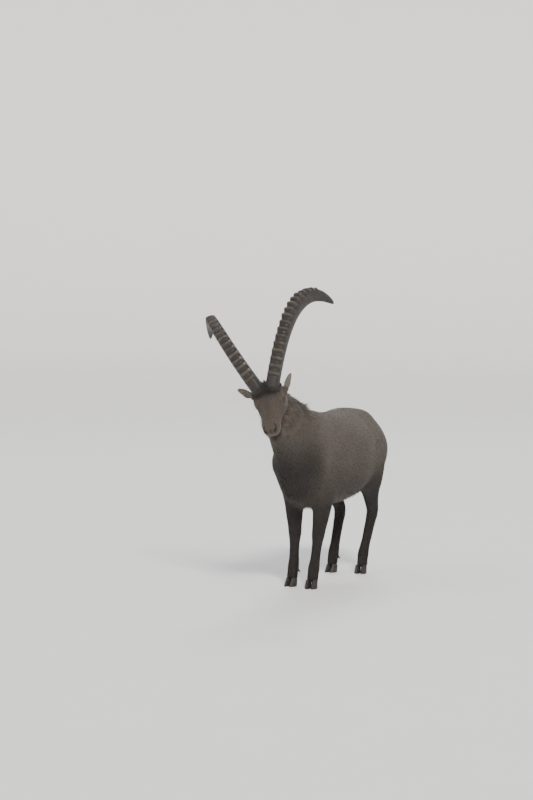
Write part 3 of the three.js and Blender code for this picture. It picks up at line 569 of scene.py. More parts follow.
@dataclass(frozen=True)
class HornFinish:
    """Dark grey-brown horn, streaked along its length and rubbed pale on the knobs."""

    dark: Colour = (0.022, 0.018, 0.015)
    pale: Colour = (0.1, 0.08, 0.06)
    tip: Colour = (0.014, 0.012, 0.011)

    def build(self) -> Material:
        """Makes the material, which reads the along, around and crest attributes.

        Returns:
            The material.
        """
        s = Shader("horn")
        along = s.attribute("along")["Fac"]
        place = s.node("CombineXYZ")
        for number, (value, scale) in enumerate(((s.attribute("around")["Fac"], 0.2), (along, 22.0))):
            scaled = s.node("Math", operation="MULTIPLY", in_1=scale)
            s.link(value, scaled.inputs[0])
            s.link(scaled.outputs[0], place.inputs[number])
        lines = put(s.node("TexNoise"), Scale=7.0, Detail=6.0)
        s.link(place.outputs[0], lines.inputs["Vector"])
        blotch = s.noise(38.0, 6.0)
        grain = s.noise(300.0, 4.0)
        rubbed = s.node("MapRange", interpolation_type="SMOOTHSTEP")
        put(rubbed, From_Min=0.25, From_Max=0.95)
        s.link(s.attribute("crest")["Fac"], rubbed.inputs["Value"])
        worn = s.node("Math", operation="MULTIPLY", use_clamp=True)
        s.link(rubbed.outputs["Result"], worn.inputs[0])
        s.link(s.spread(blotch.outputs["Fac"], -0.35, 1.5), worn.inputs[1])
        body = s.mix(worn.outputs[0], self.dark, self.pale)
        ends = s.spread(along, 0.0, 1.0)
        put(ends.node, From_Min=0.78, From_Max=0.98)
        colour = s.mix(ends, body, self.tip)
        colour = s.times(colour, s.spread(lines.outputs["Fac"], 0.55, 1.45))
        s.link(s.times(colour, s.spread(grain.outputs["Fac"], 0.8, 1.2)), s.shader.inputs["Base Color"])
        s.link(s.spread(blotch.outputs["Fac"], 0.4, 0.68), s.shader.inputs["Roughness"])
        s.height(lines.outputs["Fac"], 0.0024, 1.0)
        s.height(grain.outputs["Fac"], 0.0007, 0.5)
        s.set(Specular_IOR_Level=0.4)
        return s.material


@dataclass(frozen=True)
class HoofFinish:
    """Near-black hoof horn with level growth lines and dry scuffs."""

    dark: Colour = (0.008, 0.007, 0.0065)
    scuffed: Colour = (0.045, 0.037, 0.03)

    def build(self) -> Material:
        """Makes the material.

        Returns:
            The material.
        """
        s = Shader("hoof_horn")
        lines = s.noise(90.0, 3.0, (0.2, 0.2, 4.0))
        scuff = s.noise(120.0, 5.0)
        colour = s.mix(s.spread(scuff.outputs["Fac"], -0.5, 1.1), self.dark, self.scuffed)
        s.link(s.times(colour, s.spread(lines.outputs["Fac"], 0.7, 1.3)), s.shader.inputs["Base Color"])
        s.link(s.spread(scuff.outputs["Fac"], 0.35, 0.7), s.shader.inputs["Roughness"])
        s.height(lines.outputs["Fac"], 0.0012, 0.6)
        s.set(Specular_IOR_Level=0.45)
        return s.material


@dataclass(frozen=True)
class EyeFinish:
    """A wet eye: amber iris, level slot pupil and a dark rim, from the gaze attribute."""

    iris: Colour = (0.15, 0.068, 0.016)
    flecks: Colour = (0.035, 0.015, 0.006)
    rim: Colour = (0.008, 0.005, 0.004)
    pupil: Colour = (0.0008, 0.0008, 0.001)

    def oval(self, s: Shader, wide: float, high: float, soft: float) -> NodeSocket:
        """One inside an oval on the front of the eye and nought outside.

        Args:
            s: the material being made.
            wide: half the oval's width, in eye radii.
            high: half its height.
            soft: how wide the edge is.

        Returns:
            The socket that carries the share.
        """
        scale = s.node("VectorMath", operation="MULTIPLY", in_1=(1 / wide, 1 / high, 0.0))
        s.link(s.attribute("gaze")["Vector"], scale.inputs[0])
        length = s.node("VectorMath", operation="LENGTH")
        s.link(scale.outputs[0], length.inputs[0])
        made = s.node("MapRange", interpolation_type="SMOOTHSTEP")
        put(made, From_Min=1.0 - soft, From_Max=1.0 + soft, To_Min=1.0, To_Max=0.0)
        s.link(length.outputs["Value"], made.inputs["Value"])
        return made.outputs["Result"]

    def build(self) -> Material:
        """Makes the material.

        Returns:
            The material.
        """
        s = Shader("eye")
        streaks = put(s.node("TexNoise"), Scale=11.0, Detail=4.0)
        s.link(s.attribute("gaze")["Vector"], streaks.inputs["Vector"])
        iris = s.mix(s.spread(streaks.outputs["Fac"], -0.3, 1.3), self.flecks, self.iris)
        inner = s.mix(self.oval(s, 0.56, 0.56, 0.2), self.flecks, iris)
        ball = s.mix(self.oval(s, 0.7, 0.7, 0.06), self.rim, inner)
        s.link(s.mix(self.oval(s, 0.4, 0.13, 0.08), ball, self.pupil), s.shader.inputs["Base Color"])
        s.set(Roughness=0.3, Coat_Weight=0.8, Coat_Roughness=0.02, Coat_IOR=1.34, Specular_IOR_Level=0.1)
        return s.material


@dataclass(frozen=True)
class PlainFinish:
    """One even colour with a light mottle, for the floor."""

    name: str
    colour: Colour
    roughness: float

    def build(self) -> Material:
        """Makes the material.

        Returns:
            The material.
        """
        s = Shader(self.name)
        cloud = s.noise(3.0, 2.0)
        pale = tuple(min(1.0, c * 1.03) for c in self.colour)
        s.link(s.mix(cloud.outputs["Fac"], self.colour, pale), s.shader.inputs["Base Color"])
        s.set(Roughness=self.roughness)
        return s.material


@dataclass
class Skin:
    """One skin over all the flesh, inside the solids by the coat's depth.

    It carries on its vertices the lie and the markings of the coat, and where it is bare.
    """

    stance: Stance
    voxel: float = 0.0025
    triangles: int = 165000
    rounds: int = 60
    depth: dict[Region, float] = field(
        default_factory=lambda: {
            Region.TORSO: 8.0,
            Region.NECK: 9.5,
            Region.HEAD: 2.2,
            Region.EAR: 1.1,
            Region.TAIL: 6.0,
            Region.FORELEG: 2.4,
            Region.HINDLEG: 2.4,
        }
    )
    swell: float = 0.0006
    ear_swell: float = 0.0011
    ear_ways: dict[int, Place] = field(
        default_factory=lambda: {1: (37.0, -120.0, -8.0), -1: (-100.0, -78.0, 15.0)}
    )
    ear_opens: dict[int, Place] = field(
        default_factory=lambda: {1: (0.8, 0.35, 0.35), -1: (-0.3, 0.75, 0.3)}
    )
    flank: Colour = (0.112, 0.09, 0.069)
    grey: Colour = (0.17, 0.145, 0.118)
    brown: Colour = (0.05, 0.034, 0.024)
    dark: Colour = (0.017, 0.0125, 0.0105)
    pale: Colour = (0.25, 0.222, 0.185)
    tan: Colour = (0.13, 0.105, 0.082)
    ear_tone: Colour = (0.085, 0.065, 0.049)
    face_tone: Colour = (0.078, 0.057, 0.042)
    neck_line: tuple[tuple[float, ...], ...] = (
        (0.0, 50.0, 730.0, 112.0, 182.0),
        (0.0, 172.0, 820.0, 102.0, 142.0),
        (2.0, 280.0, 905.0, 88.0, 106.0),
    )
    neck_top: tuple[float, ...] = (-4.0, -106.0, -62.0, 66.0, 54.0)
    nostril: tuple[tuple[float, ...], ...] = (
        (25.0, 170.0, 14.0, 1.0),
        (31.0, 180.0, 9.0, 3.0),
        (30.0, 192.0, 1.0, 4.6),
        (20.0, 201.0, -5.0, 4.0),
        (11.0, 205.0, -10.0, 1.6),
    )
    shares: Array = field(init=False)
    flow: Array = field(init=False)
    marking: Array = field(init=False)
    bare: Array = field(init=False)

    def build(self, material: Material) -> Object:
        """Makes the skin.

        Args:
            material: its finish.

        Returns:
            The skin's object.
        """
        verts, faces, labels = self.source()
        raw = Kit.make("skin", verts, faces)
        mod = raw.modifiers.new("Remesh", "REMESH")
        mod.mode = "VOXEL"
        mod.voxel_size = self.voxel * 1.0
        Kit.apply(raw)
        LOG.info("skin joined, %d points", len(raw.data.vertices))
        self.soften(raw)
        self.thin(raw)
        self.refine(raw.data)
        mesh = raw.data
        points = Kit.points(mesh)
        edges = Kit.edges(mesh)
        self.shares = Kit.relax(self.nearest(points, verts, faces, labels), edges, 0.7, 80)
        points = points - Kit.normals(mesh) * self.depths(points)[:, None] / 1000.0
        points = Kit.relax(points, edges, 0.35, 2)
        Kit.place(mesh, points)
        points = points + Kit.normals(mesh) * self.carving(points)[:, None] / 1000.0
        soft = self.head_share(points) * ramp(self.nostril_reach(self.stance.head(points)), 5.0, 1.0)
        points = Kit.relax(points, edges, 0.55 * soft, 6)
        Kit.place(mesh, self.lids(points))
        self.dress(mesh)
        Kit.smooth(mesh)
        mesh.materials.clear()
        mesh.materials.append(material)
        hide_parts(*[n for r in Region for n in r.value])
        LOG.info("skin: %d faces", len(mesh.polygons))
        return raw

    def source(self) -> tuple[Array, Array, Array]:
        """All the solids of flesh without their locks, swollen a little so that they meet.

        Returns:
            Points, triangles, and for each triangle the number of its region.
        """
        verts, faces, labels, start = [], [], [], 0
        for number, region in enumerate(Region):
            for node in region.value:
                co, tris = Kit.merged(node)
                flat = np.cross(co[tris[:, 1]] - co[tris[:, 0]], co[tris[:, 2]] - co[tris[:, 0]])
                out = np.zeros_like(co)
                for k in range(3):
                    for axis in range(3):
                        out[:, axis] += np.bincount(tris[:, k], flat[:, axis], minlength=len(co))
                co = co + unit(out) * (self.ear_swell if region is Region.EAR else self.swell)
                if region is Region.HEAD:
                    co = self.shave(co)
                elif region is Region.NECK:
                    co = self.flatten_nape(co)
                verts.append(co)
                faces.append(tris + start)
                labels.append(np.full(len(tris), number))
                start += len(co)
        return np.concatenate(verts), np.concatenate(faces), np.concatenate(labels)

    def shave(self, points: Array) -> Array:
        """Draws the beard's locks back along themselves into the chin.

        Args:
            points: the head's points.

        Returns:
            The moved points.
        """
        q = self.stance.head(points)
        fall = np.array([0.0, 0.0, -1.0]) @ self.stance.axes().T
        under = np.clip(-69.0 - q[:, 2], 0, None) * (q[:, 1] > 60.0)
        q = q - fall * (under / -fall[2])[:, None]
        back = self.stance.at(*self.stance.head_at) + q @ self.stance.axes() / 1000.0
        return np.where((under > 0)[:, None], back, points)

    def neck_stations(self) -> Array:
        """The neck's sections as places in body millimetres, half width and height."""
        top = self.stance.body(self.stance.in_head(*self.neck_top[:3])[None])[0]
        return np.array([*self.neck_line, (*top, *self.neck_top[3:])])

    def flatten_nape(self, points: Array) -> Array:
        """Draws the locks on the nape down on to the neck's own oval sections.

        Args:
            points: the neck's points.

        Returns:
            The moved points.
        """
        b = self.stance.body(points)
        out = b.copy()
        stations = self.neck_stations()
        best = np.full(len(b), np.inf)
        for a, c in zip(stations[:-1], stations[1:]):
            run = c[:3] - a[:3]
            t = ((b - a[:3]) @ run) / (run @ run)
            share = np.clip(t, 0.0, 1.0)[:, None]
            centre = a[:3] + share * run
            size = a[3:] + share * (c[3:] - a[3:])
            side = unit(np.cross(run, [0.0, 0.0, 1.0]))
            over = np.cross(side, run / np.linalg.norm(run))
            off = b - centre
            x, y = off @ side, off @ over
            far = norm(off)
            reach = np.sqrt((x / size[:, 0]) ** 2 + (y / size[:, 1]) ** 2)
            weight = ramp(y / size[:, 1], 0.25, 0.6) * ramp(b[:, 1], 110.0, 175.0)
            shrink = 1 - weight * (1 - 1 / np.maximum(reach, 1.0))
            own = far < best
            best = np.where(own, far, best)
            out[own] = (centre + off * shrink[:, None])[own]
        return self.stance.origin() + out * np.array([1.0, -1.0, 1.0]) / 1000.0

    def nearest(self, points: Array, verts: Array, faces: Array, labels: Array) -> Array:
        """For each point, one for the region that it lies nearest to and nought for the rest."""
        tree = BVHTree.FromPolygons(verts.tolist(), faces.tolist())
        found = [tree.find_nearest(p)[2] for p in points]
        return np.eye(len(Region))[labels[found]]

    def head_share(self, points: Array) -> Array:
        """How much of a point's place is head, from 0 on the neck to 1 on the face."""
        q = self.stance.head(points)
        return ramp(q[:, 1], -150.0, -95.0) * ramp(q[:, 2], -230.0, -150.0)

    def soften(self, obj: Object) -> None:
        """Takes the facets out of the skin, least on the face, the ears and the feet.

        Args:
            obj: the skin.
        """
        mesh = obj.data
        points = Kit.points(mesh)
        edges = Kit.edges(mesh)
        b = self.stance.body(points)
        head = self.head_share(points)
        rounds = self.rounds // 1
        loose = (1 - head) * (0.25 + 0.45 * ramp(b[:, 2], 330.0, 480.0))
        points = Kit.relax(points, edges, loose, rounds)
        nape = (1 - head) * ramp(b[:, 1], 40.0, 120.0) * ramp(b[:, 2], 840.0, 900.0)
        points = Kit.relax(points, edges, 0.8 * nape, 2 * rounds)
        q = self.stance.head(points)
        chin = ramp(q[:, 1], 90.0, 120.0) * ramp(q[:, 2], -54.0, -66.0) * head
        points = Kit.relax(points, edges, 0.7 * chin, 24)
        for amount in (0.5, -0.52) * 6:
            points = Kit.relax(points, edges, amount * head, 1)
        Kit.place(mesh, points)

    def thin(self, obj: Object) -> None:
        """Drops faces where the skin is plain, to come under the limit.

        Args:
            obj: the skin.
        """
        head = self.head_share(Kit.points(obj.data))
        group = obj.vertex_groups.new(name="plain")
        level = np.round(1 - head, 1)
        for share in np.unique(level[level > 0]):
            group.add(np.flatnonzero(level == share).tolist(), float(share), "REPLACE")
        tris = sum(len(p.vertices) - 2 for p in obj.data.polygons)
        if tris > self.triangles:
            mod = obj.modifiers.new("Decimate", "DECIMATE")
            mod.ratio = self.triangles / tris
            mod.vertex_group = group.name
            mod.vertex_group_factor = 1.0
            mod.use_collapse_triangulate = True
        Kit.apply(obj)
        obj.vertex_groups.clear()

    def refine(self, mesh: Mesh) -> None:
        """Splits the faces round the eyes, nostrils and lips, where the finest forms are.

        Args:
            mesh: the skin's mesh.
        """
        for reach in (1.0, 0.62):
            points = Kit.points(mesh)
            q = self.stance.head(points)
            fine = self.nostril_reach(q) < 9.0 * reach
            over, along = self.lips(q)
            fine |= (along > 0.3) & (np.abs(over) < 6.0 * reach) & (reach == 1.0)
            for side in (-1, 1):
                rim, _, close = self.lid(q, side)
                fine |= (rim < 2.2 * reach) & (close > 0.05)
            fine &= self.head_share(points) > 0.5
            bm = bmesh.new()
            bm.from_mesh(mesh)
            bm.verts.ensure_lookup_table()
            edges = [e for e in bm.edges if fine[e.verts[0].index] and fine[e.verts[1].index]]
            bmesh.ops.subdivide_edges(bm, edges=edges, cuts=1, smooth=0.4)
            bmesh.ops.triangulate(bm, faces=bm.faces[:])
            bm.to_mesh(mesh)
            bm.free()
            mesh.update()

    def depths(self, points: Array) -> Array:
        """Measures how far the skin lies under the solids.

        Args:
            points: the skin's points.

        Returns:
            The depth of each in millimetres, least on the nose and the feet.
        """
        depth = self.shares @ np.array([self.depth[r] for r in Region])
        q = self.stance.head(points)
        face = ramp(q[:, 1], -60.0, 60.0) * self.head_share(points)
        depth = depth * (1 - face) + 1.0 * face
        for side in (-1, 1):
            eye = norm(q - self.stance.eye(side))
            depth = depth * ramp(eye, 24.0, 42.0) + 0.2 * ramp(eye, 42.0, 24.0)
        up = self.stance.body(points)[:, 2]
        legs = self.share(Region.FORELEG, Region.HINDLEG)
        return depth * ramp(up, 30.0, 120.0).clip(0.2, 1.0) + 1.8 * legs * bump(up, 68.0, 15.0)

    def lips(self, q: Array) -> tuple[Array, Array]:
        """Height over the slit of the mouth, and how much of a point lies along it."""
        round_ = (np.clip(201.0 - q[:, 1], 0, None) / 98.0) ** (1 / 2.2)
        slit = -38.0 - 9.0 * round_**3 - 2.0 * (1 - round_)
        return q[:, 2] - slit, ramp(q[:, 1], 98.0, 112.0)

    def nostril_reach(self, q: Array) -> Array:
        """Measures how far points are outside the nostrils' openings.

        Args:
            q: points of the head.

        Returns:
            The distance of each in millimetres.
        """
        line = np.array(self.nostril)
        t = np.linspace(0, len(line) - 1, 60)
        path = np.stack([np.interp(t, np.arange(len(line)), line[:, k]) for k in range(4)], 1)
        out = np.full(len(q), 99.0)
        near = np.flatnonzero(q[:, 1] > 145.0)
        mirrored = np.abs(q[near, 0])
        for x, y, z, r in path:
            off = np.sqrt((mirrored - x) ** 2 + (q[near, 1] - y) ** 2 + (q[near, 2] - z) ** 2)
            out[near] = np.minimum(out[near], off - r)
        return out

    def lid(self, q: Array, side: int) -> tuple[Array, Array, Array]:
        """Place on the lids of one eye.

        Args:
            q: points of the head.
            side: 1 for the left eye and -1 for the right.

        Returns:
            How far out a point is, one being the lids' rim; the height over the eye's line;
            and how near it is to the eyeball, from 0 to 1.
        """
        way = self.stance.look(side)
        along = np.array([0.0, 1.0, -0.28])
        along = unit(along - way * (along @ way))
        over = np.cross(way, along) * side
        off = q - self.stance.eye(side)
        scale = self.stance.eye_radius / np.maximum(off @ way, 1.0)
        x, y = (off @ along) * scale, (off @ over) * scale
        high = 10.0 * (1 - 0.35 * np.clip(np.abs(x) / 16.0, 0, 1) ** 2)
        close = ramp(norm(off), 40.0, 27.0) * (off @ way > 4.0)
        return np.hypot(x / 16.0, y / high), y, close

    def carving(self, points: Array) -> Array:
        """Shapes the lids, nostrils, mouth and folds.

        Args:
            points: the skin's points.

        Returns:
            The height of each in millimetres.
        """
        q = self.stance.head(points)
        head = self.head_share(points)
        over, along = self.lips(q)
        full = 0.9 * (bump(over, 5.0, 3.4) + bump(over, -5.0, 3.4))
        raised = (full - 2.6 * bump(over, 0.0, 1.5)) * along
        reach = self.nostril_reach(q)
        raised += -3.0 * ramp(reach, 1.0, -1.5) + 1.0 * bump(reach, 3.6, 2.2)
        crease = bump(q[:, 0], 0.0, 1.5) * ramp(q[:, 1], 186.0, 194.0) * ramp(q[:, 2], -40.0, -34.0)
        raised += -1.4 * crease * ramp(q[:, 2], -2.0, -10.0)
        for side in (-1, 1):
            rim, height, close = self.lid(q, side)
            raised += close * 0.9 * bump(rim, 1.22, 0.16)
            raised += close * -1.7 * bump(rim, 1.95, 0.2) * ramp(height, 1.0, 7.0)
            raised += close * -0.9 * bump(rim, 2.1, 0.25) * ramp(height, -1.0, -7.0)
            tear = norm(q - [side * 56.0, 27.0, -6.0])
            raised += -2.2 * bump(tear, 0.0, 8.0)
            temple = norm((q - [side * 68.0, -22.0, 24.0]) * [1, 1, 1.4])
            raised += -1.6 * bump(temple, 0.0, 12.0)
        return raised * head

    def lids(self, points: Array) -> Array:
        """Draws the lids over the eyeballs, each with a full rim round an almond opening.

        Args:
            points: the skin's points.

        Returns:
            The moved points.
        """
        out = points.copy()
        radius = self.stance.eye_radius
        for side in (-1, 1):
            centre = self.stance.in_head(*self.stance.eye(side))
            rim, height, close = self.lid(self.stance.head(out), side)
            off = (out - centre) * 1000.0
            far = norm(off)
            full = 1.3 + 0.8 * ramp(height, 0.0, 6.0)
            thick = 0.5 + full * ramp(rim, 1.0, 1.16) + 1.2 * ramp(rim, 1.16, 1.9)
            wanted = radius + np.where(rim < 1.0, -2.0 - 3.0 * ramp(rim, 1.0, 0.7), thick)
            inside = (close > 0.0) & (rim < 1.0)
            over = (close > 0.0) & (rim >= 1.0) & (far < wanted)
            behind = (close <= 0.0) & (far < radius + 0.5)
            wanted[behind] = radius + 0.5
            move = inside | over | behind
            out[move] = centre + unit(off[move]) * wanted[move, None] / 1000.0
        return out

    def dress(self, mesh: Mesh) -> None:
        """Stores the markings, the bare leather and the lie of the coat on the skin.

        Args:
            mesh: the skin's mesh.
        """
        points = Kit.points(mesh)
        edges = Kit.edges(mesh)
        normals = Kit.normals(mesh)
        self.flow = unit(Kit.relax(self.lie(points), edges, 0.6, 20))
        self.marking = Kit.relax(self.colours(points, normals), edges, 0.5, 4)
        self.bare = self.leather(points)
        Kit.attribute(mesh, "marking", "FLOAT_COLOR", np.c_[self.marking, np.ones(len(points))])
        Kit.attribute(mesh, "bare", "FLOAT", self.bare)

    def share(self, *regions: Region) -> Array:
        """How much of each point belongs to the regions."""
        return np.clip(sum(self.shares[:, list(Region).index(r)] for r in regions), 0, 1)

    def lie(self, points: Array) -> Array:
        """Combs the hair, by region.

        Args:
            points: the skin's points.

        Returns:
            A direction for each point.
        """
        b = self.stance.body(points)
        q = self.stance.head(points)
        ax = self.stance.axes()
        n = len(points)

        def world(left: Array | float, forward: Array | float, up: Array | float) -> Array:
            """Body directions as rows in the row's frame."""
            return np.stack([np.broadcast_to(v, (n,)) for v in (left, -np.asarray(forward), up)], 1)

        side = np.sign(b[:, 0])
        flank = ramp(np.abs(b[:, 0]), 20.0, 170.0)
        chest = ramp(b[:, 1], 20.0, 170.0)
        rump = ramp(b[:, 1], -600.0, -720.0)
        cheek = ramp(np.abs(q[:, 0]), 24.0, 60.0)
        tips = np.where(q[:, [0]] > 0, [self.ear_ways[1]], [self.ear_ways[-1]])
        ways = {
            Region.TORSO: world(
                0.05 * side, -1 + 0.75 * chest + 0.8 * rump, -0.28 * flank - 1.1 * chest - 1.1 * rump
            ),
            Region.NECK: world(0.1 * side, -0.75, -0.75),
            Region.HEAD: np.stack([0.14 * np.sign(q[:, 0]), np.full(n, -1.0), -0.1 - 0.35 * cheek], 1) @ ax,
            Region.EAR: tips @ ax,
            Region.TAIL: world(0.0, -0.15, -1.0),
            Region.FORELEG: world(0.0, -0.25, -1.0),
            Region.HINDLEG: world(0.0, -0.3, -1.0),
        }
        return sum(unit(ways[r]) * self.shares[:, [i]] for i, r in enumerate(Region))

    def colours(self, points: Array, normals: Array) -> Array:
        """Paints the coat: grey-brown sides, dark legs, chest and back line, paler belly.

        Args:
            points: the skin's points.
            normals: their normals.

        Returns:
            A colour for each point.
        """
        b = self.stance.body(points)
        out = np.tile(self.flank, (len(points), 1))
        waves = np.sin(b[:, 1] / 47.0 + np.sin(b[:, 2] / 61.0) * 2.0)
        waves = waves * np.sin(b[:, 2] / 39.0 + b[:, 1] / 90.0)
        out *= (1 + 0.12 * waves)[:, None]
        out = blend(out, self.grey, 0.5 * bump(b[:, 2], 800.0, 70.0))
        out = blend(out, self.brown, 0.75 * ramp(b[:, 2], 700.0, 540.0))
        out = blend(out, self.brown, 0.55 * ramp(b[:, 1], -560.0, -720.0) * ramp(b[:, 2], 820.0, 700.0))
        spine = bump(b[:, 0] + 4.0 * np.sin(b[:, 1] / 53.0), 0.0, 24.0)
        spine = spine * (0.85 + 0.15 * np.sin(b[:, 1] / 31.0))
        out = blend(out, self.dark, 0.65 * spine * ramp(normals[:, 2], 0.3, 0.8))
        band = bump(b[:, 2], 500.0, 36.0) * ramp(np.abs(normals[:, 0]), 0.2, 0.6)
        band = band * ramp(b[:, 1], 60.0, -60.0)
        out = blend(out, self.dark, 0.5 * band * ramp(b[:, 1], -640.0, -540.0))
        chest = ramp(b[:, 1], 10.0, 190.0) * ramp(b[:, 2], 890.0, 620.0)
        out = blend(out, self.dark, 0.85 * chest)
        belly = ramp(normals[:, 2], -0.55, -0.9) * ramp(b[:, 2], 600.0, 500.0) * ramp(b[:, 1], 60.0, -40.0)
        out = blend(out, self.pale, 0.4 * belly * ramp(np.abs(b[:, 0]), 140.0, 80.0))
        groin = bump(b[:, 1], -560.0, 90.0) * ramp(normals[:, 2], -0.2, -0.8)
        out = blend(out, self.pale, 0.5 * groin * ramp(np.abs(b[:, 0]), 120.0, 60.0))
        legs = self.share(Region.FORELEG, Region.HINDLEG)
        out = blend(out, self.dark, legs * ramp(b[:, 2], 580.0, 430.0))
        behind = ramp(normals[:, 1], 0.2, 0.9) * legs * ramp(b[:, 2], 330.0, 260.0)
        out = blend(out, self.tan, 0.5 * behind * ramp(b[:, 2], 80.0, 130.0))
        rump = bump(b[:, 0], 0.0, 58.0) * ramp(b[:, 1], -700.0, -745.0) * ramp(b[:, 2], 620.0, 700.0)
        out = blend(out, self.pale, 0.45 * rump)
        out = blend(out, self.dark, 0.9 * self.share(Region.TAIL))
        out = blend(out, self.brown, 0.45 * self.share(Region.NECK) * ramp(normals[:, 2], 0.4, 0.9))
        head = self.share(Region.HEAD)[:, None]
        out = out * (1 - head) + self.face(points) * head
        ears = self.share(Region.EAR)
        out = blend(out, self.ear_tone, ears)
        return blend(out, self.pale, 0.6 * ears * self.ear_inside(points, normals))

    def ear_inside(self, points: Array, normals: Array) -> Array:
        """Finds the open side of the ears.

        Args:
            points: the skin's points.
            normals: their normals.

        Returns:
            A share from 0 to 1 for each point.
        """
        out = np.zeros(len(points))
        left = self.stance.head(points)[:, 0] > 0
        for side, own in ((1, left), (-1, ~left)):
            way, open_ = np.array(self.ear_ways[side]), np.array(self.ear_opens[side])
            way = unit(way)
            face = unit(open_ - way * (open_ @ way)) @ self.stance.axes()
            out[own] = ramp(normals[own] @ face, 0.1, 0.6)
        return out

    def face(self, points: Array) -> Array:
        """Paints the head: dark crown and eye rims, brown bridge, pale lips.

        Args:
            points: the skin's points.

        Returns:
            A colour for each point.
        """
        q = self.stance.head(points)
        out = np.tile(self.face_tone, (len(points), 1))
        crown = ramp(q[:, 2], 26.0, 50.0) * ramp(q[:, 1], 45.0, -10.0)
        out = blend(out, self.dark, 0.8 * crown)
        bridge = bump(q[:, 0], 0.0, 15.0) * ramp(q[:, 1], 10.0, 60.0) * ramp(q[:, 1], 170.0, 140.0)
        out = blend(out, self.brown, 0.5 * bridge * ramp(q[:, 2], -4.0, 10.0))
        over, along = self.lips(q)
        out = blend(out, self.pale, 0.62 * along * bump(over, 1.0, 13.0) * ramp(q[:, 1], 104.0, 150.0))
        cheek = bump(q[:, 1], -14.0, 46.0) * bump(q[:, 2], -40.0, 22.0)
        out = blend(out, self.pale, 0.16 * cheek)
        for side in (-1, 1):
            rim, height, close = self.lid(q, side)
            out = blend(out, self.pale, 0.22 * close * bump(rim, 2.3, 0.5))
            out = blend(out, self.dark, 0.8 * close * ramp(rim, 1.8, 1.3))
            tear = norm(q - [side * 52.0, 40.0, -12.0])
            out = blend(out, self.dark, 0.4 * bump(tear, 0.0, 16.0))
        return blend(out, self.brown, 0.6 * ramp(q[:, 2], -72.0, -100.0))

    def leather(self, points: Array) -> Array:
        """Bares the skin round the nostrils, in the mouth's slit and on the lids' rims.

        Args:
            points: the skin's points.

        Returns:
            A share from 0 to 1 for each point.
        """
        q = self.stance.head(points)
        over, along = self.lips(q)
        bare = bump(over, 0.0, 1.9) * along
        reach = self.nostril_reach(q)
        bare = np.maximum(bare, ramp(reach, 2.8, 1.2))
        middle = bump(q[:, 0], 0.0, 7.5) * ramp(q[:, 1], 188.0, 194.0) * ramp(q[:, 2], -34.0, -26.0)
        bare = np.maximum(bare, middle * ramp(q[:, 2], 6.0, -2.0))
        for side in (-1, 1):
            rim, _, close = self.lid(q, side)
            bare = np.maximum(bare, ramp(rim, 1.42, 1.25) * ramp(close, 0.0, 0.2))
        return np.clip(bare, 0, 1) * self.share(Region.HEAD)


